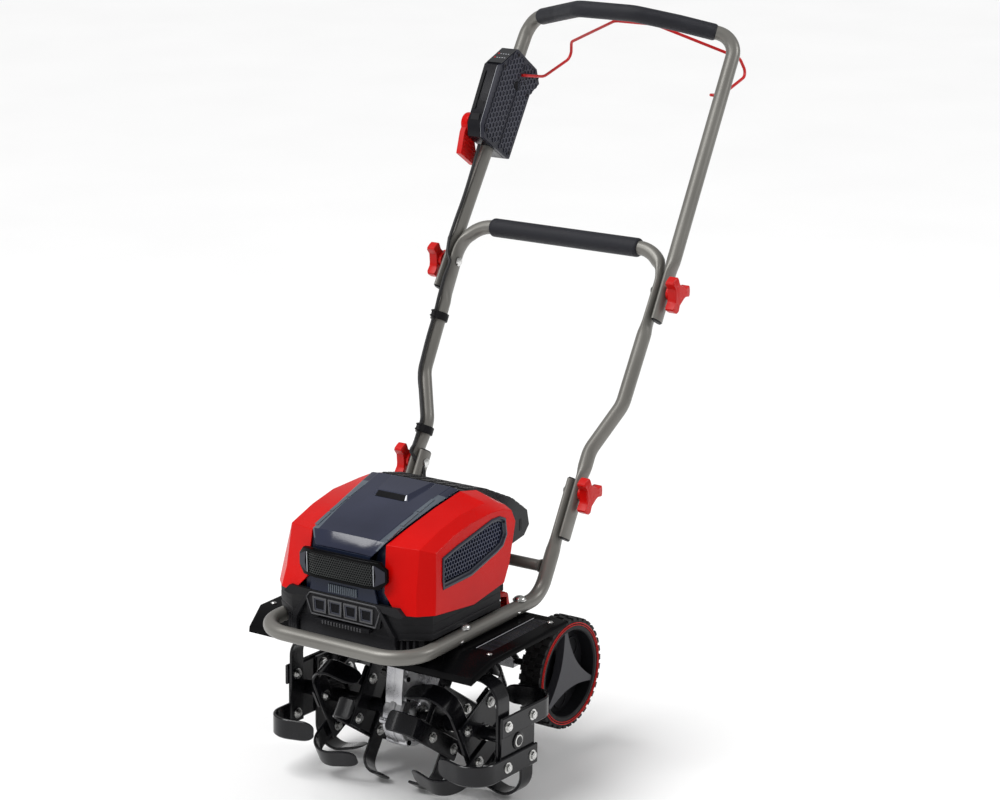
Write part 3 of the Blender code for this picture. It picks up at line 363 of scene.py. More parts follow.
def pressed(ranges, flat, ramp=24):
    """Half sizes of a tube pressed flat over ranges of its length, measured from the nearer end."""
    def half_sizes(distance, total):
        along = min(distance, total - distance)
        blend = 1
        for start, end in ranges:
            share = min(max(start - along, along - end, 0) / ramp, 1)
            blend = min(blend, share * share * (3 - 2 * share))
        return tuple(a + (TUBE_R - a) * blend for a in flat)
    return half_sizes


def both_halves(half):
    """Path over both sides from its right half, which runs from the end to the centre plane."""
    return [Vector((-p.x, p.y, p.z)) for p in half] + list(reversed(half))


def mirrored(half):
    """Outline over both sides from its right half."""
    return list(half) + [(-x, *rest) for x, *rest in reversed(half)]


def plug(piece, end, outward, thin, wide):
    """Cap in the open end of a flattened tube."""
    piece.loft(rings_along([end, end + outward * 1.6, end + outward * 2.4], lambda d,
                           t: (thin - d * 0.8, wide - d * 0.8), 32), PLASTIC)


def spun(u, v, angle, centre=(0, 0)):
    """Flat point turned about the origin and moved to a centre."""
    c, s = math.cos(angle), math.sin(angle)
    return (centre[0] + u * c - v * s, centre[1] + u * s + v * c)


def smooth_route(points, per_span=6):
    """Smooth curve through points."""
    pts = [Vector(p) for p in points]
    pts = [2 * pts[0] - pts[1]] + pts + [2 * pts[-1] - pts[-2]]
    route = []
    for i in range(1, len(pts) - 2):
        p0, p1, p2, p3 = pts[i - 1:i + 3]
        for k in range(per_span):
            t = k / per_span
            route.append(0.5 * (2 * p1 + (p2 - p0) * t + (2 * p0 - 5 * p1 + 4 * p2 - p3) * t * t
                                + (3 * p1 - p0 - 3 * p2 + p3) * t ** 3))
    route.append(pts[-2])
    return route


def inside(point, outline):
    """Whether a flat point lies inside an outline."""
    hit = False
    for (x1, y1), (x2, y2) in zip(outline, outline[1:] + outline[:1]):
        if (y1 > point[1]) != (y2 > point[1]) and point[0] < (x2 - x1) * (point[1] - y1) / (y2 - y1) + x1:
            hit = not hit
    return hit


def honeycomb(piece, place, outline, pitch, wall, depth, mat):
    """Raised hexagonal lattice over an outline; place(u, v, height) gives the point in space."""
    outer, inner = pitch / math.sqrt(3), (pitch - wall) / math.sqrt(3)
    us, vs = [p[0] for p in outline], [p[1] for p in outline]
    row, v = 0, min(vs)
    while v < max(vs):
        u = min(us) + (pitch / 2 if row % 2 else 0)
        while u < max(us):
            if inside((u, v), outline):
                turns = [math.radians(30 + 60 * k) for k in range(6)]
                piece.loft([[place(u + r * math.cos(a), v + r * math.sin(a), h) for a in turns]
                            for r, h in ((outer, 0), (inner, 0), (inner, -depth))], mat, caps=False)
            u += pitch
        v += pitch * math.sqrt(3) / 2
        row += 1


def screw_head(piece, centre, normal, radius, mat, height=2.2):
    """Domed head with a socket on a surface."""
    centre, normal = Vector(centre), Vector(normal).normalized()
    piece.rod(centre, centre + normal * height * 0.55, radius, mat, 28)
    piece.rod(centre + normal * height * 0.5, centre + normal * height, radius * 0.97, mat, 28,
              radius * 0.55)
    # socket: a flat disc of painted shade
    piece.rod(centre + normal * height * 0.7, centre + normal * (height + 0.08), radius * 0.3, HOLE_SHADE, 6)


# ---- camera, light and floor --------------------------------------------------------------------------
CAMERA_PLACE = Vector((17.760, -24.927, 10.750)) * FRAME_HALF
turn, lift, roll = math.radians(34.70), math.radians(15.84), math.radians(-0.528)
back = Vector((math.sin(turn) * math.cos(lift), -math.cos(turn) * math.cos(lift), math.sin(lift)))
right = Vector((math.cos(turn), math.sin(turn), 0))
up = back.cross(right)
side_axis = right * math.cos(roll) + up * math.sin(roll)
up_axis = up * math.cos(roll) - right * math.sin(roll)
camera = bpy.data.objects.new("camera", bpy.data.cameras.new("camera"))
camera.data.lens = 105.15
camera.data.sensor_width = 36
camera_axes = Matrix((side_axis, up_axis, back)).transposed().to_4x4()
camera.matrix_world = Matrix.Translation(TO_WORLD @ CAMERA_PLACE) @ camera_axes
bpy.context.scene.collection.objects.link(camera)
bpy.context.scene.camera = camera

world_shader = bpy.data.worlds.new("studio")
world_shader.use_nodes = True
world_shader.node_tree.nodes["Background"].inputs["Color"].default_value = (1, 1, 1, 1)
world_shader.node_tree.nodes["Background"].inputs["Strength"].default_value = 0.42
bpy.context.scene.world = world_shader
bpy.context.scene.view_settings.view_transform = "Standard"


def add_light(name, kind, place, power, soft):
    """Lamp aimed at the machine; soft is a sun's angle or a disc's width."""
    light = bpy.data.lights.new(name, kind)
    light.energy = power
    if kind == "SUN":
        light.angle = soft
    else:
        light.shape, light.size = "DISK", soft
    lamp = bpy.data.objects.new(name, light)
    lamp.location = place
    lamp.rotation_euler = (Vector((0, 0, 0.45)) - Vector(place)).to_track_quat("-Z", "Y").to_euler()
    bpy.context.scene.collection.objects.link(lamp)


add_light("overhead", "SUN", (-1.1, -1.6, 4.2), 2.15, 0.6)
add_light("key", "AREA", (-1.8, -2.6, 3), 26, 1.2)
add_light("rim", "AREA", (2.6, 1.4, 2.4), 30, 1)

FLOOR_LOOK = material("pale_floor", (0.97, 0.97, 0.97), (0.96, 0.96, 0.96), (0.6, 0.75), 60, 0.02, patch=2)
floor_mesh = bpy.data.meshes.new("floor")
floor_mesh.from_pydata([(-14, -14, 0), (14, -14, 0), (14, 14, 0), (-14, 14, 0)], [], [(0, 1, 2, 3)])
floor_mesh.materials.append(FLOOR_LOOK)
floor = bpy.data.objects.new("floor", floor_mesh)
floor.location = (0, 0, -0.0005)
bpy.context.scene.collection.objects.link(floor)

# ---- tubes --------------------------------------------------------------------------------------------
HANDLE_AXIS = slope_point(0, 1)
frame_half_path = [slope_point(FRAME_HALF, STUB_LENGTH), Vector((FRAME_HALF, 0, 0)),
                   Vector((FRAME_HALF, FRONT_BAR_Y, 0))]
frame_path = fillet_path(both_halves(frame_half_path), [55, 62, 62, 55])
tube = Piece()
tube.loft(rings_along(evenly(frame_path), pressed([(0, 106)], (8, 15.8)), 36), TUBE)
for sign in (-1, 1):
    plug(tube, slope_point(sign * FRAME_HALF, STUB_LENGTH), HANDLE_AXIS, 7.6, 15.4)
    for y in (-224, -61):
        tube.lathe([(12, 0.2), (12, 1.6), (10.5, 1.8), (9.6, 4.4), (6.5, 6.6), (3, 7.4), (0.02, 7.5)],
                   (sign * FRAME_HALF, y, TUBE_R - 0.9), ZINC, "Z", 32, closed=False)
    for y in (-247, -80):
        screw_head(tube, (sign * (FRAME_HALF + 11.6), y, -4.5), (sign, 0, -0.36), 4.2, ZINC, 2.6)
tube.done("frame_tube", "main_frame", "warm_grey_paint", "main_frame", angle=40)

cross = Piece()
CROSS_Y, CROSS_Z = 26, 45
cross.rod((-145.5, CROSS_Y, CROSS_Z), (145.5, CROSS_Y, CROSS_Z), 10, TUBE, 36)
for sign in (-1, 1):
    cross.lathe([(10, sign * 138), (11.6, sign * 141.5), (12.4, sign * 145.2), (10, sign * 145.4)],
                (0, CROSS_Y, CROSS_Z), TUBE, "X", 36)
cross.done("cross_brace", "main_frame", "warm_grey_paint", "cross_tube", angle=40)

MIDDLE_LEG = ((173, 107), (173, 266), (211, 355), (216.6, MIDDLE_TOP))
middle_path = fillet_path(both_halves([slope_point(*p) for p in MIDDLE_LEG]), [55, 55, 60, 60, 55, 55])
tube = Piece()
tube.loft(rings_along(evenly(middle_path), pressed([(0, 106), (409, 501)], (7, 16.4)), 36), TUBE)
for sign in (-1, 1):
    plug(tube, slope_point(sign * MIDDLE_LEG[0][0], MIDDLE_LEG[0][1]), -HANDLE_AXIS, 6.6, 16)
tube.done("middle_tube", "middle_frame", "warm_grey_paint", "middle_handle", angle=40)

TOP_CORNER = Vector((220.5, 544.2, 895.4))
GRIP = [Vector((127.3, 500.7, 919.6)), Vector((58, 457.7, 937.4))]
UPPER_START = -53
UPPER_END = upper_point(231.5, UPPER_START)
upper_path = fillet_path(both_halves([UPPER_END, TOP_CORNER] + GRIP), [36, 60, 40, 40, 60, 36])
tube = Piece()
tube.loft(rings_along(evenly(upper_path), pressed([(0, 88)], (7, 16)), 36), TUBE)
axis = (UPPER_END - TOP_CORNER).normalized()
for sign in (-1, 1):
    flip = Vector((sign, 1, 1))
    plug(tube, UPPER_END * flip, axis * flip, 6.6, 15.6)
tube.done("upper_tube", "upper_frame", "warm_grey_paint", "upper_handle", angle=40)


def foam(name, path, radius, body, node):
    """Foam sleeve with softly rounded ends."""
    def half_sizes(distance, total):
        edge = min(distance, total - distance)
        drop = 2.2 * max(0, 1 - edge / 5) ** 2
        return radius - drop, radius - drop
    piece = Piece()
    piece.loft(rings_along(evenly(path, 2.5), half_sizes, 36, (0, 0, 1)), FOAM)
    piece.done(name, body, "foam_grip", node, angle=60)


bar = slope_point(0, MIDDLE_TOP)
foam("foam_bar_sleeve", [Vector((-156, bar.y, bar.z)), Vector((156, bar.y, bar.z))], 17, "middle_frame",
     "foam_sleeve")
grip_half = [TOP_CORNER + (GRIP[0] - TOP_CORNER).normalized() * 39] + GRIP
foam("foam_handle_grip", fillet_path(both_halves(grip_half), [60, 40, 40, 60]), 15.05, "upper_frame",
     "grip_foam")

# ---- knobs and fold bolts -----------------------------------------------------------------------------
LOWER_BASE, UPPER_BASE = 180.3, 239.1
KNOB_ARM = ((12.6, -10.6), (19, -8.2), (31, -9.8), (33.2, -7.2), (33.8, 0), (33.2, 7.2), (31, 9.8),
            (19, 8.2))


def knob_ring(x, point, scale):
    """Outline of a three-armed knob about a pivot, at one distance from the centre plane."""
    return [(x, *spun(scale * r, scale * w, math.radians(arm), point.yz)) for arm in (0, 120, 240)
            for r, w in KNOB_ARM]


for side, sign in SIDES:
    for label, point, base, body, head in (("lower", LOWER_PIVOT, LOWER_BASE, "main_frame", 145.6),
                                           ("upper", UPPER_PIVOT, UPPER_BASE, "middle_frame", 203.4)):
        knob = Piece(sign)
        knob.loft([knob_ring(base + depth, point, scale)
                   for depth, scale in ((6, 0.93), (7.2, 1), (21.8, 1), (23.8, 0.9))], RED_GRIP)
        knob.rod((base, point.y, point.z), (base + 7, point.y, point.z), 12.5, RED_GRIP, 40)
        knob.lathe([(7.5, base + 23), (6.6, base + 24), (5.2, base + 24),
                    (4.6, base + 23.4), (4.6, base + 21)], (0, point.y, point.z), RED_GRIP, "X", 40)
        for k in range(3):
            a = 2 * math.pi * k / 3
            spot = point + Vector((0, math.cos(a), math.sin(a))) * 20
            knob.rod((base + 23.4, spot.y, spot.z), (base + 24, spot.y, spot.z), 4.2, RED_GRIP, 4, 3.4)
        knob.done(f"{label}_knob_{side}", f"knob_{label}_{side}_body", "red_plastic",
                  f"knob_{label}_{side}", 0.8)
        bolt = Piece(sign)
        bolt.lathe([(0.02, head + 0.1), (4, head + 0.4), (7.2, head + 1.6), (8.5, head + 3.4),
                    (3.9, head + 3.6), (3.9, base + 14),
                    (0.02, base + 14)], (0, point.y, point.z), ZINC, "X", 32, closed=False)
        bolt.done(f"{label}_carriage_bolt_{side}", body, "zinc_plated_steel", f"fold_bolt_{label}_{side}")

# ---- deck and wheel beam ------------------------------------------------------------------------------
DECK = ((-47, 1, 0, 11), (-266, 1, 0, 11), (-309, 0.955, -22, 11), (-311, 0.953, -31, 3))
deck = Piece()
rows = []
for y, narrow, drop, lip in DECK:
    top = [(-244, -lip), (-243.6, -3), (-242, -0.6), (-239, 0), (-60, 0), (60, 0), (239, 0), (242, -0.6),
           (243.6, -3), (244, -lip)]
    under = [(242, -lip), (241, -2.2), (0, -2), (-241, -2.2), (-242, -lip)]
    rows.append([(x * narrow, y, DECK_TOP + drop + z) for x, z in top + under])
deck.loft(rows, BLACK)
WING_X = 207
for sign in (-1, 1):
    deck.box((sign * WING_X - 13, -236, DECK_TOP - 0.2), (sign * WING_X + 13, -66, DECK_TOP + 0.25), GLOSSY)
    for k in range(9):
        y = -228 + k * 19
        deck.box((sign * WING_X - 11.5, y, DECK_TOP + 0.1), (sign * WING_X + 11.5, y + 1.4, DECK_TOP + 0.4),
                 GREY_BLUE)
    deck.box((sign * 190 - 0.9, -236, DECK_TOP - 0.1), (sign * 190 + 0.9, -66, DECK_TOP + 0.35), PALE)
    for y in (-70, -250):
        screw_head(deck, (sign * 226, y, DECK_TOP), (0, 0, 1), 5, ZINC, 3)
deck.done("deck_sheet", "main_frame", "black_painted_steel", "deck_plate", 0.5)

beam = Piece()
for low_x, high_x in ((-124, 104), (120, 124)):
    beam.box((low_x, -66, -40), (high_x, -22, -15.3), BLACK)
beam.box((104, -28.5, -40), (120, -22, -15.3), BLACK)
for low, high in (((-24, -22), (-8.4, 84)), ((8.4, -22), (24, 84)), ((-8.4, -22), (8.4, 52.7)),
                  ((-8.4, 69.5), (8.4, 84))):
    beam.box((*low, -40), (*high, -15.3), BLACK)
for x in (-100, -55, 55, 90):
    beam.rod((x, -44, -44), (x, -44, -39.9), 6.5, ZINC, 6)
    beam.rod((x, -44, -40.6), (x, -44, -39.8), 8.5, ZINC, 24)
beam.done("wheel_beam", "main_frame", "black_painted_steel", "wheel_sleeve", 0.8)

lever = Piece()
lever.prism([(-42, -34), (-36.5, -36), (-31, -34), (-33, -15), (-36, -4), (-38.5, 9), (-42, 12.5),
             (-67, 17.5), (-70, 15.5), (-69.5, 11), (-44, 4.5), (-42.5, -10)], 105.2, 118.8, RED_GRIP)
for k in range(5):
    lever.box((106.2, -66 + k * 4.6, 13.4), (117.8, -64.4 + k * 4.6, 17.6 - k * 0.7), RED_GRIP)
lever.rod((99.5, -36, -28), (124.4, -36, -28), 2.5, ZINC, 20)
lever.done("wheel_release_lever", "wheel_release", "red_plastic", "release_lever", 0.8)

# ---- wheels and their carrier -------------------------------------------------------------------------
carrier = Piece()
carrier.box((-8, WHEEL.y - 8, WHEEL.z - 10), (8, WHEEL.y + 8, 57), BLACK)
carrier.box((-7, WHEEL.y - 7, 56.5), (7, WHEEL.y + 7, 58), PLASTIC)
# the carrier's holes are filled with rods of painted shade
for k in range(3):
    carrier.rod((-8.1, WHEEL.y, -8 + k * 22), (8.1, WHEEL.y, -8 + k * 22), 3.4, HOLE_SHADE, 24)
yoke = mirrored([(66, WHEEL.z - 11), (66, WHEEL.z + 4), (30, WHEEL.z + 40)])
for low_y, high_y in ((WHEEL.y - 10, WHEEL.y - 7.5), (WHEEL.y + 7.5, WHEEL.y + 10)):
    carrier.prism(yoke, low_y, high_y, CAST, "Y")
for x in (-64.8, 64.8):
    carrier.box((x - 1.2, WHEEL.y - 9.8, WHEEL.z - 10.8), (x + 1.2, WHEEL.y + 9.8, WHEEL.z + 3.8), CAST)
for x in (-38, 38):
    carrier.rod((x, WHEEL.y - 13, WHEEL.z + 14), (x, WHEEL.y + 10, WHEEL.z + 14), 6, ZINC, 6)
carrier.rod((-160, WHEEL.y, WHEEL.z), (160, WHEEL.y, WHEEL.z), 6, BLACK, 28)
for x in (-130, 130):
    carrier.lathe([(6, x - 1.9), (9.4, x - 1.9), (10, x - 1.2), (10, x + 1.2), (9.4, x + 1.9), (6, x + 1.9)],
                  (0, WHEEL.y, WHEEL.z), BLACK, "X", 32)
carrier.done("wheel_height_carrier", "wheel_slide", "black_painted_steel", "wheel_carrier", 0.7)

STAR_CURVE = ((79, 41, 14.5), (4, 10, 25))
for side, sign in SIDES:
    rim = Piece(sign)
    centre = (0, WHEEL.y, WHEEL.z)
    rim.lathe([(77, 137), (87, 137), (87, 139), (84.5, 142), (84.5, 175),
               (87.2, 178), (87.2, 180), (79.5, 180.4), (77, 178)], centre, PLASTIC, "X", 96)
    rim.lathe([(7.4, 133), (17, 133), (18, 134), (18, 163), (7.4, 163)], centre, PLASTIC, "X", 64)
    rim.lathe([(16, 150), (78, 150), (78, 153), (16, 153)], centre, PLASTIC, "X", 64)
    for radius, half in ((90.2, 0.95), (86.4, 0.8)):
        rim.lathe([(radius - half, 180.2), (radius - half * 0.6, 181.6), (radius + half * 0.6, 181.6),
                   (radius + half, 180.2), (radius, 178.6)], centre, RED_GRIP, "X", 120)
    star = []
    for arm in (-24, 96, 216):
        side_curve = [tuple(a * (1 - t) ** 2 + 2 * b * t * (1 - t) + c * t * t for a, b, c in STAR_CURVE)
                      for t in (k / 12 for k in range(13))]
        star += [spun(r, w, math.radians(arm), WHEEL.yz)
                 for r, w in [(r, -w) for r, w in reversed(side_curve)] + side_curve]
    rim.prism(star, 162, 177.5, STAR_GREY)
    for arm in (36, 156, 276):
        spot = spun(52, 0, math.radians(arm), WHEEL.yz)
        rim.lathe([(20, 152.8), (20, 155), (17.5, 155), (17.5, 152.8)], (0, *spot), PLASTIC, "X", 32)
    rim.done(f"wheel_disc_{side}", f"wheel_{side}_body", "grey_plastic", f"wheel_rim_{side}", 0.8)

    tyre = Piece(sign)
    tyre.lathe([(87.4, 137), (92, 136.8), (95, 139), (95.6, 144), (95.6, 173),
                (95, 178), (92, 180.2), (87.4, 180)], centre, RUBBER, "X", 120)
    for k in range(36):
        for row, (low_x, high_x) in enumerate(((137.6, 151.5), (152.8, 164.2), (165.5, 179.4))):
            a = 2 * math.pi * (k + 0.5 * (row % 2)) / 36
            spin = Matrix.Rotation(a, 3, "X")
            verts = bmesh.ops.create_cube(tyre.bm, size=1)["verts"]
            bmesh.ops.scale(tyre.bm, vec=(high_x - low_x, 10.2, 6), verts=verts)
            bmesh.ops.translate(tyre.bm, vec=((low_x + high_x) / 2, 0, 95.6), verts=verts)
            bmesh.ops.rotate(tyre.bm, cent=(0, 0, 0), matrix=spin, verts=verts)
            bmesh.ops.translate(tyre.bm, vec=centre, verts=verts)
            tyre._made(verts, RUBBER)
    tyre.done(f"wheel_tyre_{side}", f"wheel_{side}_body", "black_rubber", f"tyre_{side}", 0.6)

# ---- gearbox ------------------------------------------------------------------------------------------
NECK_TOP = DECK_TOP - 2.3
CASE_GAP = 0.15
neck_outline = [(-94, NECK_TOP - 8), (-186, NECK_TOP - 8), (-200, -60), (-206, -100), (-212, -140),
                (-214, -180), (-206, -222), (-150, -248), (-98, -232), (-94, -150)]
for side, sign in SIDES:
    case = Piece(sign)
    case.prism(neck_outline, CASE_GAP, 17, CAST)
    case.lathe([(9.6, CASE_GAP), (57, CASE_GAP), (57, 5), (55, 6.5), (55, 16.5), (52, 20), (46, 21),
                (44, 18.5), (31, 18.5), (29, 21.5), (26, 25.5), (24, 27), (19.3, 27), (19.3, 15.1),
                (9.6, 15.1)], AXLE, CAST, "X", 96)
    case.box((CASE_GAP, -206, NECK_TOP - 9), (42, -74, NECK_TOP), CAST)
    for y in (-196, -140, -84):
        case.prism([(0, 0), (0, -26), (25, 0)], y - 2.5, y + 2.5, CAST, "Y",
                   Matrix.Translation((15, 0, NECK_TOP - 9)))
        case.rod((34, y + 9, NECK_TOP - 12.5), (34, y + 9, NECK_TOP - 9), 5.2, ZINC, 6)
    for k in range(7):
        a = math.radians(25 + 360 / 7 * k)
        spot = AXLE + Vector((0, math.cos(a), math.sin(a))) * 51
        case.rod((0.2, spot.y, spot.z), (21.5, spot.y, spot.z), 7.6, CAST, 28, 6.8)
        case.rod((21, spot.y, spot.z), (23.6, spot.y, spot.z), 4.4, BLACK, 24)
        # socket in each bolt head: a disc of painted shade
        case.rod((23.4, spot.y, spot.z), (23.7, spot.y, spot.z), 2.1, HOLE_SHADE, 6)
        rib = [spun(r, w, a + 0.45, AXLE.yz) for r, w in ((30, 1.6), (46, 1.6), (46, -1.6), (30, -1.6))]
        case.prism(rib, 17, 20.6, CAST)
    for z in (-62, -84, -106):
        case.prism([(-196, z), (-104, z + 4), (-104, z + 7), (-196, z + 3)], 16.5, 19.5, CAST)
    for y, z in ((-188, -44), (-104, -44), (-196, -118), (-106, -112)):
        case.rod((0.2, y, z), (19.5, y, z), 7, CAST, 28, 6.2)
        case.rod((19, y, z), (21.4, y, z), 4.2, BLACK, 24)
    case.done(f"gear_case_{side}", "main_frame", "cast_aluminium", f"gearbox_{side}", 1.4, 3)

# ---- tine rotor ---------------------------------------------------------------------------------------
shaft = Piece()
shaft.rod((-229, AXLE.y, AXLE.z), (229, AXLE.y, AXLE.z), 8, TINE, 40)
for sign in (-1, 1):
    shaft.lathe([(8, sign * 225.8), (10.5, sign * 225.8), (10.8, sign * 226.6), (10.8, sign * 228),
                 (8, sign * 228.6)], AXLE, ZINC, "X", 40)
    shaft.rod((sign * 48, AXLE.y, AXLE.z - 12.6), (sign * 48, AXLE.y, AXLE.z + 12.6), 2.2, ZINC, 20)
shaft.done("tine_axle", "tine_rotor", "zinc_plated_steel", "tine_shaft", 0.6)

TINES = {"inner": (0, 30, 92, 16, 28), "middle": (1, 40, 106, 46, 81.2), "outer": (2, 40, 106, 46, 153.2)}


def add_blade(piece, plane, phase, quarter, offset, radius, bend, leg):
    """One bent strip with a ground, tapered tip."""
    flat_end = BLADE_REACH - radius
    points = [(-52, 0), (-20, 0), (24, 0), (flat_end, 0)]
    steps = round(bend / 6)
    for k in range(1, steps + 1):
        a = math.radians(bend) * k / steps
        points.append((flat_end + radius * math.sin(a), radius * (1 - math.cos(a))))
    a = math.radians(bend)
    s, w = points[-1]
    shares = (0.25, 0.5, 0.66, 0.8, 0.9, 0.97, 1)
    points += [(s + leg * f * math.cos(a), w + leg * f * math.sin(a)) for f in shares]
    taper = {1: 0.42, 2: 0.56, 3: 0.72, 4: 0.86, 5: 0.96}
    rings = []
    for i, (s, w) in enumerate(points):
        ahead = Vector(points[min(i + 1, len(points) - 1)]) - Vector(points[max(i - 1, 0)])
        ahead.normalize()
        normal = Vector((-ahead.y, ahead.x))
        width = 36 * taper.get(len(points) - i, 1)
        half = 2.5 if i < len(points) - 4 else 2.5 - 0.42 * (i - len(points) + 5)
        ring = []
        for t, v in ((-half, -0.46), (-half * 0.55, -0.5), (half * 0.55, -0.5), (half, -0.46), (half, 0.44),
                     (half * 0.2, 0.5), (-half * 0.2, 0.5), (-half, 0.44)):
            ring.append((s + normal.x * t, HALF_PITCH + v * width, w + normal.y * t))
        rings.append(ring)
    turn = math.radians(phase + 90 * quarter)
    piece.loft([[(plane + offset - w, *spun(s, v, turn, AXLE.yz)) for s, v, w in ring] for ring in rings],
               TINE)


for side, sign in SIDES:
    for label, (index, radius, bend, leg, hub_inner) in TINES.items():
        plane, phase = STAR_X[index], STAR_PHASE[index]
        star = Piece(sign)
        plate = [spun(along, across, math.radians(phase + 90 * corner), AXLE.yz) for corner in range(4)
                 for along, across in ((49, 42), (48, 46.5), (46.5, 48), (42, 49))]
        star.prism(plate, plane - 2.4, plane + 2.4, TINE)
        for quarter in range(4):
            offset = 4.8 if quarter % 2 == 0 else -4.8
            add_blade(star, plane, phase, quarter, offset, radius, bend, leg)
            y, z = spun(HALF_PITCH, HALF_PITCH, math.radians(phase + 90 * quarter), AXLE.yz)
            for face in (-1, 1):
                near, far = plane + face * 7.2, plane + face * 8.4
                star.rod((near, y, z), (far, y, z), 9.6, ZINC, 32)
                star.rod((far, y, z), (plane + face * 12.4, y, z), 7.6, ZINC, 6, 7)
                star.rod((plane + face * 12.2, y, z), (plane + face * 13.2, y, z), 4.4, ZINC, 24, 3.6)
        star.lathe([(8.3, hub_inner), (11.6, hub_inner), (12.5, hub_inner + 1.2), (12.5, plane + 1),
                    (15, plane + 2), (15, plane + 4.2),
                    (13.8, plane + 4.8), (8.3, plane + 4.8)], AXLE, TINE, "X", 48)
        for z in (AXLE.z - 12.4, AXLE.z + 12.4):
            mid = hub_inner + 9
            star.rod((mid, AXLE.y, z - 1.4), (mid, AXLE.y, z + 1.4), 3.6, ZINC, 6)
        star.done(f"tines_{side}_{label}", "tine_rotor", "black_painted_steel",
                  f"tine_star_{side}_{label}", 0.5)


# ---- housing ------------------------------------------------------------------------------------------
def plan_ring(half, z, inset=0):
    """Plan outline of the base with cut corners."""
    front, rear = -340 + inset, -80 - inset
    return mirrored([(half - 52, rear, z), (half, -118, z), (half, -312, z), (half - 46, front, z)])


FLOOR = DECK_TOP + 0.3
base = Piece()
base.loft([plan_ring(139, FLOOR), plan_ring(140, FLOOR + 2), plan_ring(140, 12.6), plan_ring(155, 15.6),
           plan_ring(157.4, 18), plan_ring(158, 26), plan_ring(156.8, 27), plan_ring(156.8, 29.5),
           plan_ring(158, 30.5), plan_ring(158, 43.6), plan_ring(154.5, 43.6, 3.5),
           plan_ring(153.5, 19, 3.5), plan_ring(136.5, 16.9, 3.5),
           plan_ring(136.5, FLOOR + 3, 3.5)], PLASTIC)
for sign in (-1, 1):
    for k in range(4):
        x = 103 + 9 * k
        y = -340 + (x - 94) * 28 / 46
        base.box((sign * x - 2.2, y - 9, FLOOR + 1), (sign * x + 2.2, y + 4, 14.5), PLASTIC)
    for k in range(9):
        y = -296 + 20 * k
        base.box((sign * 140 - 3.5, y - 2, FLOOR + 2), (sign * 140 + 3.5, y + 2, 14), PLASTIC)
for k in range(8):
    x = -70 + 20 * k
    base.box((x - 2, -83, FLOOR + 2), (x + 2, -76.5, 14), PLASTIC)
base.done("base_skirt", "main_frame", "black_plastic", "base_shell", 0.8)

collar = Piece()
edge = mirrored([(105.4, -80, 55), (157.4, -118, 56.5), (157.4, -200, 45.8), (157.4, -312, 59),
                 (111.4, -340, 59)])
collar.loft([[(x * scale, -205 + (y + 205) * scale, low if low else z) for x, y, z in edge]
             for scale, low in ((1, 42), (1, 0), (0.985, 0), (0.985, 42))], PLASTIC, close=True)
collar.done("skirt_collar", "main_frame", "black_plastic", bevel=0.6)

COWL_RINGS = [
    [(108, -343, 60), (80, -338, 91), (76, -326, 170), (81, -270, 186), (86, -205, 202), (93, -141, 216),
     (94, -95, 206), (94, -62, 182), (94, -45, 152), (94, -70, 86), (94, -84, 56), (100, -200, 45)],
    [(140, -332, 60), (134, -324, 95), (132, -310, 167), (132, -253, 185), (132, -196, 196),
     (132, -123, 197), (132, -90, 190), (132, -66, 179), (132, -54, 152), (132, -79, 86), (132, -92, 57),
     (132, -200, 45.5)],
    [(162, -310, 60), (158, -302, 95), (149, -289, 158), (149, -236, 174), (149, -190, 182),
     (149, -130, 185), (149, -95, 181), (150, -72, 174), (152, -63, 152), (156, -88, 86), (160, -110, 58),
     (161, -200, 46)]]
WINDOW = [(-281, 97), (-281, 110), (-275, 147), (-236, 155.5), (-190, 163), (-130, 173), (-108, 172),
          (-93, 165), (-93, 138), (-107, 122), (-125, 116), (-203, 98)]
WINDOW_CENTRE = Vector((-188, 134))


def face_x(z):
    """Distance of the cowl's flat side from the centre plane."""
    return 149 + (185 - z) / 125 * 12


def inset(outline, amount):
    """Outline moved inwards by an amount, edge by edge."""
    out, count = [], len(outline)
    for i, point in enumerate(outline):
        before, after = Vector(outline[i - 1]), Vector(outline[(i + 1) % count])
        p = Vector(point)
        into = Vector((0, 0))
        for edge in ((p - before).normalized(), (after - p).normalized()):
            normal = Vector((-edge.y, edge.x))
            if normal.dot(WINDOW_CENTRE - p) < 0:
                normal = -normal
            into += normal
        cosine = max(0.5, into.length / 2)
        out.append(tuple(p + into.normalized() * (amount / cosine)))
    return out


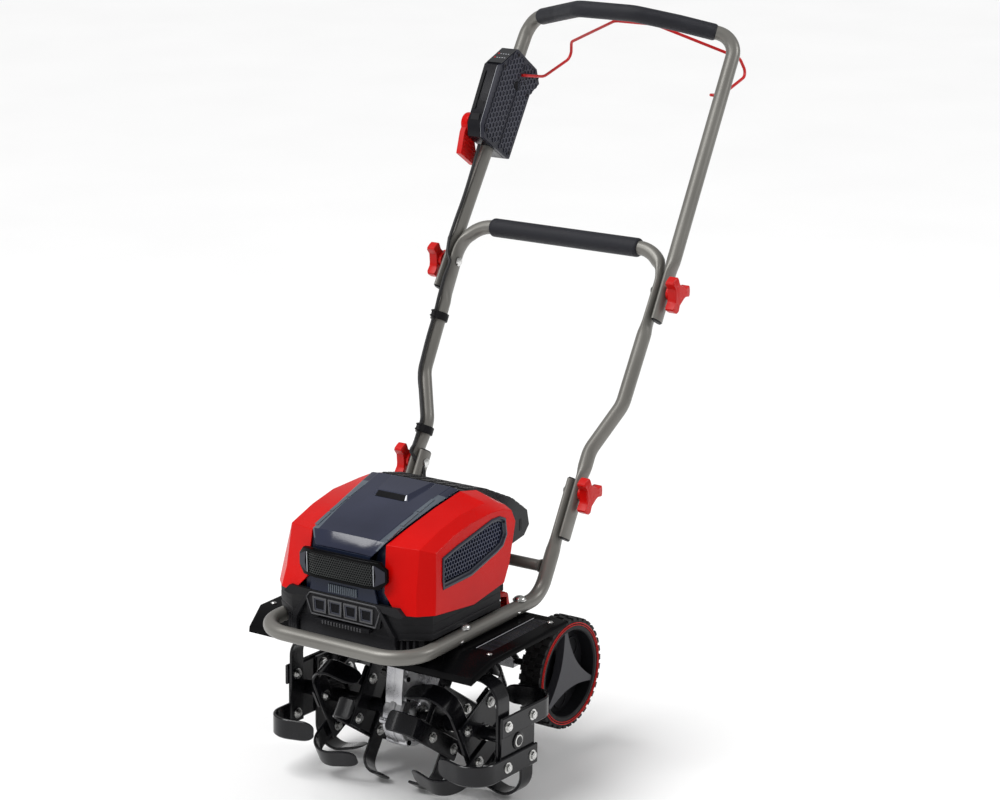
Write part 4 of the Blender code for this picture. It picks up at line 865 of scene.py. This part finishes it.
for side, sign in SIDES:
    cowl = Piece()
    rows = [[cowl.bm.verts.new((sign * x, y, z)) for x, y, z in ring] for ring in COWL_RINGS]
    steps = [(i, (i + 1) % len(WINDOW)) for i in range(len(WINDOW))]
    faces = [cowl.bm.faces.new((row[i], row[j], after[j], after[i]))
             for row, after in zip(rows, rows[1:]) for i, j in steps]
    hole = [cowl.bm.verts.new((sign * face_x(z), y, z)) for y, z in WINDOW]
    rim_edges = [cowl.bm.edges.get((rows[2][i], rows[2][j])) for i, j in steps]
    rim_edges += [cowl.bm.edges.new((hole[i], hole[j])) for i, j in steps]
    filled = bmesh.ops.triangle_fill(cowl.bm, use_beauty=True, edges=rim_edges)["geom"]
    faces += [item for item in filled if isinstance(item, bmesh.types.BMFace)]
    cowl.paint(faces, RED)
    bmesh.ops.dissolve_limit(cowl.bm, angle_limit=math.radians(4), verts=cowl.bm.verts, edges=cowl.bm.edges)
    obj = cowl.done(f"red_cowl_{side}", "main_frame", "red_plastic", f"cowl_{side}", 0, angle=180)
    shell = obj.modifiers.new("wall", "SOLIDIFY")
    shell.thickness = 0.0032
    shell.offset = -1
    round_edges(obj, 2.2, 3, 14)

    window = Piece(sign)

    def ring_at(amount, out):
        return [(face_x(z) + out, y, z) for y, z in inset(WINDOW, amount)]

    window.loft([ring_at(-1.2, 0.1), ring_at(-1.2, 1.3), ring_at(0.4, 1.9), ring_at(2.6, 1.9),
                 ring_at(3.6, 0.2), ring_at(4.6, -1.2), ring_at(7.2, -1.6),
                 ring_at(7.6, -5.6)], GREY_BLUE, caps=False)
    window.prism(inset(WINDOW, -2), 141, 143.5, NAVY)
    honeycomb(window, lambda u, v, h: (face_x(v) - 3.4 + h, u, v), inset(WINDOW, 7), 7.6, 1.7, 3, MESH)
    # holes in the window frame: discs of painted shade
    for y, z in ((-278, 118), (-97, 160), (-100, 134)):
        window.rod((face_x(z), y, z), (face_x(z) + 1.6, y, z), 1.6, HOLE_SHADE, 16)
    window.done(f"side_window_{side}", "main_frame", "black_plastic", f"window_mesh_{side}")

rear_outline = [(-132, 214), (-96, 207), (-60, 196), (20, 158), (62, 128), (68, 100), (52, 84), (-5, 76),
                (-44, 50), (-60, 50)]
rear = Piece()
rear.loft([[(x, y * narrow, z) for y, z in rear_outline]
           for x, narrow in ((-91.5, 0.995), (-60, 1), (0, 1), (60, 1), (91.5, 0.995))], GLOSSY)
top_line = [(-118, 211), (-60, 196), (20, 158), (58, 130), (65, 104)]
for k in range(7):
    x = -78 + 26 * k
    for (y1, z1), (y2, z2) in zip(top_line, top_line[1:]):
        steps = max(1, round(math.hypot(y2 - y1, z2 - z1) / 17))
        along = Vector((y2 - y1, z2 - z1)).normalized()
        for n in range(steps):
            y = y1 + (y2 - y1) * (n + 0.5) / steps
            z = z1 + (z2 - z1) * (n + 0.5) / steps
            tilt = Matrix.Rotation(math.atan2(along.y, along.x), 3, "X")
            rear.box((x - 9.5, y - 5.6, z - 2.5), (x + 9.5, y + 5.6, z + 2.6), PLASTIC, tilt)
for sign in (-1, 1):
    for k in range(4):
        rear.box((sign * 91.2 - 0.9, -30 + k * 22, 96), (sign * 91.2 + 0.9, -22 + k * 22, 150 - k * 11),
                 PLASTIC)
rear.done("rear_ribbed_cover", "main_frame", "black_plastic", "rear_cover", 1.2)

# ---- front grille and label bar -----------------------------------------------------------------------
def trapezium(x, low_half, high_half, low, high):
    return [(x - low_half, low), (x + low_half, low), (x + high_half, high), (x - high_half, high)]


grille = Piece()
grille.prism(mirrored([(74, 30), (80, 60), (70, 72)]), -345.5, -340.5, PLASTIC, "Y")
grille.prism(mirrored([(70, 72), (64, 97)]), -344.5, -340.5, NAVY, "Y")
for k in range(15):
    grille.prism(trapezium(-28 + 4 * k, 0.9, 0.9, 76, 90), -347.2, -344, SMOKE_GREY_AND_SHEEN, "Y")
for i in range(4):
    x = -48 + i * 32
    for grow, depth, mat in ((0, -348, GREY), (2.6, -347, GREY_BLUE)):
        outer = trapezium(x, 13 - grow, 14.5 - grow, 36 + grow, 62 - grow)
        inner = trapezium(x, 10.4 - grow, 11.8 - grow, 38.6 + grow, 59.4 - grow)
        rings = [[(u, y, v) for u, v in outline]
                 for outline, y in ((outer, -345.2), (outer, depth), (inner, depth), (inner, -345.2))]
        for pair in zip(rings, rings[1:] + rings[:1]):
            grille.loft(pair, mat, caps=False)
    # painted shade: a dark sheet behind each grille opening
    grille.prism(trapezium(x, 10, 11, 39, 59), -345.9, -345.3, HOLE_SHADE, "Y")
frame_line = mirrored([(66, 31), (76, 59), (68, 68)])
for (u1, v1), (u2, v2) in zip(frame_line, frame_line[1:] + frame_line[:1]):
    grille.rod((u1, -346.2, v1), (u2, -346.2, v2), 1.4, GREY, 12)
grille.box((-56, -351, 20), (56, -341, 26), PLASTIC)
for k in range(14):
    x = -39 + 6 * k
    grille.box((x - 1.3, -352.6, 19.4), (x + 1.3, -350, 25.5), GREY)
STRUTS = (([(68, 66), (76, 66), (106, 22), (106, 6), (100, 6), (97, 20)], -347.5, -338.5),
          ([(66, 72), (112, 72), (124, 60), (114, 56), (78, 60)], -346.5, -338))
for sign in (-1, 1):
    for outline, low, high in STRUTS:
        grille.prism([(sign * u, v) for u, v in outline], low, high, PLASTIC, "Y")
grille.done("front_grille_detail", "main_frame", "black_plastic", "front_grille", 0.5)

bar_plan = [(-92, -341.5), (-80, -347), (-52, -352.5), (52, -352.5), (80, -347), (92, -341.5)]
label = Piece()
label.prism(mirrored([(52, -351.5), (78, -346), (78, -339.4)]), 100, 145, PLASTIC, "Z")


def bar_front(x):
    """Front of the label bar in its plan."""
    for (x1, y1), (x2, y2) in zip(bar_plan, bar_plan[1:]):
        if x1 <= x <= x2:
            return y1 + (y2 - y1) * (x - x1) / (x2 - x1)
    return bar_plan[0][1]


def bar_ring(points, out):
    return [(x, bar_front(x) - out, z) for x, z in points]


outer = mirrored([(50, 98.5), (78, 99), (90, 112), (90, 133), (78, 146), (50, 146.5)])
inner = mirrored([(50, 103.2), (62, 103.5), (66, 106), (66, 139), (62, 141.5), (50, 141.8)])
smaller = [(x * 0.985, 122.5 + (z - 122.5) * 0.96) for x, z in outer]
label.loft([bar_ring(outer, -4), bar_ring(outer, 1.8), bar_ring(smaller, 2.6), bar_ring(inner, 2.6),
            bar_ring(inner, 0.4)], BLACK, caps=False)
END_PLATE = ((70, 104), (88, 114), (88, 131), (70, 141), (73, 122.5))
for sign in (-1, 1):
    plate = [(sign * x, z) for x, z in END_PLATE]
    label.loft([bar_ring(plate, 2), bar_ring(plate, 3.6)], CHARCOAL)
    x, y = sign * 68.5, bar_front(68.5) - 2.7
    label.rod((x, y, 105), (x, y, 140), 0.7, PALE, 12)
honeycomb(label, lambda u, v, h: (u, bar_front(u) - 1.5 - h, v), mirrored([(66, 103), (66, 142)]), 4.6, 1.1,
          1.3, MESH_BLACK)
label.done("front_mesh_bar", "main_frame", "black_plastic", "label_bar", 0.4)

# ---- strips under the cover's edges -------------------------------------------------------------------
for side, sign in SIDES:
    seat = Piece(sign)
    line = ((50, 86, -334, 60), (50, 84, -334, 92), (60, 81, -323, 167), (72, 86, -268, 183),
            (77, 91, -203, 199), (83, 97, -140, 212), (84, 98, -134, 208))
    seat.loft([[(low, y, z), (high, y, z), (high, y + 3, z - 5), (low, y + 3, z - 5)]
               for low, high, y, z in line], NAVY)
    seat.done(f"cover_seat_{side}", "main_frame", "black_plastic", bevel=0.5)

# ---- smoked battery cover -----------------------------------------------------------------------------
COVER_ROWS = [(-341, 57, 151, 1), (-336, 65, 160, 1.4), (-326.5, 74.5, 172.5, 2), (-298, 77, 180.6, 2.6),
              (-270, 79.5, 189, 3), (-238, 82, 197, 3), (-205, 84.5, 205, 3), (-173, 88, 211.6, 3),
              (-142, 91, 218, 3)]
cover = Piece()
shape = [(-1, 0), (-0.955, 0.55), (-0.84, 0.72), (-0.82, 1), (-0.4, 1.2), (0, 1.25), (0.4, 1.2), (0.82, 1),
         (0.84, 0.72), (0.955, 0.55), (1, 0)]
rings = []
for y, half, z, dome in COVER_ROWS:
    rings.append([(u * half, y, z + dome * v) for u, v in shape]
                 + [(u * half * 0.97, y + 1.5, z + dome * v - 2.6) for u, v in reversed(shape)])
faces = cover.loft(rings, SMOKED)
# painted reflection: the cover's side bevel strips, on both sides, in a lighter grey
painted_sheen_strip = [face for face in faces if 0.80 < abs(face.calc_center_median().x) / 84 < 1.1
         and face.calc_center_median().y < -160]
cover.paint(painted_sheen_strip, SMOKE_GREY_AND_SHEEN)


def cover_z(y):
    """Height of the cover's centre line."""
    for (y1, _, z1, d1), (y2, _, z2, d2) in zip(COVER_ROWS, COVER_ROWS[1:]):
        if y1 <= y <= y2:
            share = (y - y1) / (y2 - y1)
            return z1 + (z2 - z1) * share + d1 + (d2 - d1) * share
    return COVER_ROWS[-1][2]


def on_cover(points, lift=0):
    """Points given by their height over the cover."""
    return [(x, y, cover_z(y) + h + lift) for x, y, h in points]


panel = mirrored([(36, -212, 0.4), (47, -146, 0.4)])
raised = mirrored([(31, -204, 7.5), (41, -150, 5)])
cover.loft([on_cover(panel, -1.5), on_cover(panel), on_cover(raised)], SMOKED)
# latch recess in front of the raised panel: its face is painted shade
recess = on_cover(mirrored([(30, -213.5, 0.6), (28.5, -205.4, 6.6)]))
cover.loft([recess, [(x * 0.96, y - 0.7, z + 0.3) for x, y, z in recess]], HOLE_SHADE)
pale_tab = on_cover(((30.5, -212.4, 0.6), (34.5, -211, 0.6), (31.6, -205.4, 7), (29.4, -205.4, 7)))
tab_face = on_cover(((30.8, -212.4, 0.6), (34.2, -211, 0.6), (31.4, -205.4, 7), (29.6, -205.4, 7)), 0.5)
cover.loft([pale_tab, [(x, y - 1, z) for x, y, z in tab_face]], PALE)
# panes on the side bevels, in the same painted reflection grey
for sign in (-1, 1):
    for low_y, high_y in ((-318, -282), (-278, -236), (-232, -190)):
        pane = ((sign * 70, low_y, 0.9), (sign * 76.5, low_y, 0.9), (sign * 76.5, high_y, 0.9),
                (sign * 70, high_y, 0.9))
        cover.loft([on_cover(pane, -2.2), on_cover(pane)], SMOKE_GREY_AND_SHEEN)
cover.prism(mirrored([(56, 150.5), (54, 143.5)]), -342.5, -339.5, NAVY, "Y")
cover.rod((-86, -138.4, 212.8), (86, -138.4, 212.8), 3.2, SMOKED, 24)
cover.done("smoked_battery_cover", "battery_lid", "smoked_cover", "battery_cover", 0.5, 2, angle=20)

# ---- switch box ---------------------------------------------------------------------------------------
BOX_CENTRE = 378
BOX_OUTER, BOX_SEAM, BOX_FACE = -241, -213.4, -205


def box_point(along, perp):
    """Place in the side view from measures along the upper handle and across it."""
    point = upper_point(0, BOX_CENTRE + along) + UPPER_PERP * perp
    return (point.y, point.z)


def box_outline(*points):
    return [box_point(*p) for p in points]


SLANT = ((-18, -68), (31, -31))
SHELLS = {"front": ("black_plastic", [*SLANT, (28.3, -0.15), (-155.1, -0.15), (-153, -48), (-132, -62)],
                    ((-138, -50), (-14, -56), (22, -26))),
          "rear": ("grey_plastic", [(28.2, 0.15), (25, 44), (5, 66), (-25, 48), (-154, 48), (-157, 42),
                                    (-155.1, 0.15)], ((-146, 38), (-30, 38), (12, 52)))}


def towards_middle(outline, amount):
    """Outline of a switch box shell with its corners moved in."""
    middle = Vector((-62, -4))
    return [tuple(Vector(p) + (middle - Vector(p)).normalized() * amount) for p in outline]


for label_name, (slot, outline, screws) in SHELLS.items():
    box_part = Piece()
    flat = box_outline(*outline)
    box_part.prism(flat, BOX_OUTER, BOX_SEAM, GLOSSY)
    box_part.prism(box_outline(*towards_middle(outline, 0.8)), BOX_SEAM, BOX_SEAM + 1.2, PALE)
    box_part.prism(flat, BOX_SEAM + 1.2, BOX_FACE, CHARCOAL)
    for y, z in box_outline(*screws):
        box_part.rod((BOX_FACE, y, z), (BOX_FACE + 1.6, y, z), 5, CHARCOAL, 24)
        # screw hole: a disc of painted shade
        box_part.rod((BOX_FACE + 1.4, y, z), (BOX_FACE + 1.8, y, z), 3.4, HOLE_SHADE, 20)
    if label_name == "front":
        for along in (-120, -95, -70, -45):
            box_part.prism(box_outline((along - 6, -63.5), (along + 6, -65.3), (along + 6, -62),
                                       (along - 6, -60)), -236, -218, PLASTIC)
        box_part.prism(box_outline((-105, -66), (-30, -70), (-34, -64), (-100, -62)), -238, -232, PLASTIC)
    else:
        y, z = BAIL_PIVOT.yz
        box_part.lathe([(3.4, -205.2), (9, -205.2), (8, -203.6), (3.4, -203.6)], (0, y, z), CHARCOAL,
                       "X", 36)
        # dark triangle beside the bail pivot, in the painted shade colour
        box_part.prism([(y - 14, z - 9), (y - 30, z - 12), (y - 18, z - 27)], -203.9, -203.2, HOLE_SHADE)
        for angle in (200, 250, 300):
            rib = [spun(r, w, math.radians(angle),
                        (y, z)) for r, w in ((9, 1.4), (30, 1.4), (30, -1.4), (9, -1.4))]
            box_part.prism(rib, BOX_FACE - 0.2, BOX_FACE + 1.3, CHARCOAL)
    honeycomb(box_part, lambda u, v, h: (BOX_FACE + 1.3 + h, *box_point(u, v)), towards_middle(outline, 7),
              10.5, 2.4, 1.4, BOX_GRID)
    box_part.done(f"control_box_{label_name}", "upper_frame", slot, f"switch_box_{label_name}", 1.4)

slant_low, slant_high = (Vector(p) for p in box_outline(*SLANT))
slant = (slant_high - slant_low).normalized()
outward = Vector((-slant.y, slant.x))
panel_low, panel_high = slant_low + slant * 5 + outward * 0.3, slant_high - slant * 5 + outward * 0.3
screen = Piece()
screen.prism([tuple(p) for p in (panel_low, panel_high, panel_high + outward * 2.3,
                                 panel_low + outward * 2.3)], -238, -206.5, DISPLAY)
for row in range(2):
    for k in range(5):
        spot = panel_low + slant * (16 + 14 * row) + outward * 2.3
        x = -233 + 5.4 * k
        ends = [spot, spot + slant * (2.6 if k else 4), spot + slant * (2.6 if k else 4) + outward * 0.25,
                spot + outward * 0.25]
        screen.prism([tuple(p) for p in ends], x, x + 2.2, RED if k == 0 else PALE)
screen.done("status_display", "upper_frame", "smoked_cover", "display", 0.5)

lock = Piece()
lock_centre = box_point(-126, -44)
lock.lathe([(0.02, -241.4), (17.5, -241.4), (19, -243), (19, -253), (18, -256), (14.5, -258.4), (9, -258.9),
            (0.02, -259)], (0, *lock_centre), RED, "X", 56, closed=False)
lock.prism(box_outline((-120, -56), (-118, -32), (-150, -18), (-182, 12), (-190, 6), (-188, -46),
                       (-150, -56)), -256, -244.5, RED_GRIP)
for k in range(5):
    s, low = -186 + 7.5 * k, -44 - k * 1.2
    lock.prism(box_outline((s, low), (s + 2.6, low), (s + 2.6, 2 - k * 6), (s, 4 - k * 6)), -257.6, -243.4,
               RED_GRIP)
lock.done("lock_out_lever", "lock", "red_plastic", "lock_lever", 0.9, 3)

# ---- bail ---------------------------------------------------------------------------------------------
bail_half = [Vector((213, BAIL_PIVOT.y, BAIL_PIVOT.z)), Vector((196.5, BAIL_PIVOT.y, BAIL_PIVOT.z)),
             Vector((190.5, 541.2, 791)), Vector((189.6, 632.7, 814.4)), Vector((181, 620, 846)),
             Vector((42.7, 554, 904.5))]
bail_path = fillet_path(both_halves(bail_half), [7, 40, 14, 14, 30, 30, 14, 14, 40, 7], 7)
bail = Piece()
bail.loft(rings_along(evenly(bail_path, 20), lambda d, t: (2.75, 2.75) if 1.2 < d < t - 1.2 else (2.2, 2.2),
                      20, (0, 0, 1)), BAIL)
bail.done("bail_lever", "bail", "red_wire", "bail_wire", angle=50)


# ---- cable and clips ----------------------------------------------------------------------------------
def middle_leg_x(along):
    """Half width of the middle handle at a distance up its slope."""
    for (x1, low), (x2, high) in zip(MIDDLE_LEG, MIDDLE_LEG[1:]):
        if along <= high:
            break
    return x1 + (x2 - x1) * (along - low) / (high - low)


def beside_middle(along, off, shift=0):
    """Point in front of the left leg of the middle handle."""
    return slope_point(-middle_leg_x(along) + shift, along) - MIDDLE_PERP * off


def on_leg(along, perp=0, shift=0):
    """Point beside the left leg of the upper handle."""
    share = (along - UPPER_START) / (TOP_CORNER - UPPER_END).length
    point = UPPER_END.lerp(TOP_CORNER, share)
    return Vector((-point.x + shift, point.y, point.z)) + UPPER_PERP * perp


clip_hole = {}
for label_name, along in (("high", 458), ("low", 248)):
    centre = slope_point(-middle_leg_x(along), along)
    leg_way = (slope_point(-middle_leg_x(along + 5),
                           along + 5) - slope_point(-middle_leg_x(along - 5), along - 5))
    leg_way.normalize()
    hole_centre = centre - MIDDLE_PERP * 18
    side_way = leg_way.cross(MIDDLE_PERP).normalized()
    outline = []
    for k in range(40):
        a = math.radians(-150 + 300 * k / 39)
        outline.append(centre + MIDDLE_PERP * (16 * math.cos(a)) + side_way * (16 * math.sin(a)))
    for k in range(15):
        a = math.radians(105 + 150 * k / 14)
        outline.append(hole_centre + MIDDLE_PERP * (6.2 * math.cos(a)) + side_way * (6.2 * math.sin(a)))
    clip = Piece()
    clip.loft([[p + leg_way * shift for p in outline] for shift in (-7, 7)], PLASTIC)
    for shift in (-4.5, 4.5):
        spot = hole_centre - MIDDLE_PERP * 5.6 + leg_way * shift
        clip.rod(spot - side_way * 5, spot + side_way * 5, 1.5, PLASTIC, 12)
    clip.done(f"clip_{label_name}", "middle_frame", "black_plastic", f"cable_clip_{label_name}", 0.8)
    clip_hole[label_name] = (hole_centre, leg_way)


def cable(name, points, per_span, body=None, node=(), cross=None):
    """Length of cable through points; with cross given, it is baked in place and attached to no body."""
    piece = Piece()
    path = smooth_route(points, per_span)
    piece.loft(rings_along(path, lambda d, t: (3, 3), 18, (0.3, 0.5, 0.8)), CABLE)
    piece.done(name, body, "black_plastic", node, angle=60, cross=cross)


route = [beside_middle(214, 19), beside_middle(222, 18.2)]
for label_name, mids in (("low", [beside_middle(a, 18.3) for a in (272, 305, 345, 400)]), ("high", [])):
    point, direction = clip_hole[label_name]
    route += [point - direction * 12, point + direction * 12] + mids
route += [beside_middle(490, 19.5), beside_middle(530, 20.5)]
cable("cable_along_middle", route, 8, "middle_frame", "cable_middle")
upper_route = [on_leg(34, -20.5, 1), on_leg(70, -19.5), on_leg(120, -18.5), on_leg(180, -22),
               on_leg(219, -26)]
cable("cable_along_upper", upper_route, 10, "upper_frame", "cable_upper")
lower_route = [Vector(p) for p in ((-145, 84, 143), (-141, 62, 124), (-128, 20, 112), (-114, -22, 114),
                                   (-108, -45, 118))]
cable("cable_to_housing", lower_route, 10, "main_frame", "cable_lower")

cable("cable_lower_bend", [lower_route[0] + Vector((0.5, -3, -3)), lower_route[0], Vector((-152, 88, 158)),
                           beside_middle(200, 19.6), route[0], route[1]], 8,
      cross=("main_frame", "middle_frame", world(lower_route[0]), world(route[0])))
cable("cable_upper_bend", [route[-2].lerp(route[-1], 0.9), route[-1], beside_middle(556, 21, 3),
                           on_leg(8, -21.5, 8), upper_route[0], upper_route[0].lerp(upper_route[1], 0.1)],
                           8, cross=("middle_frame", "upper_frame", world(route[-1]), world(upper_route[0])))
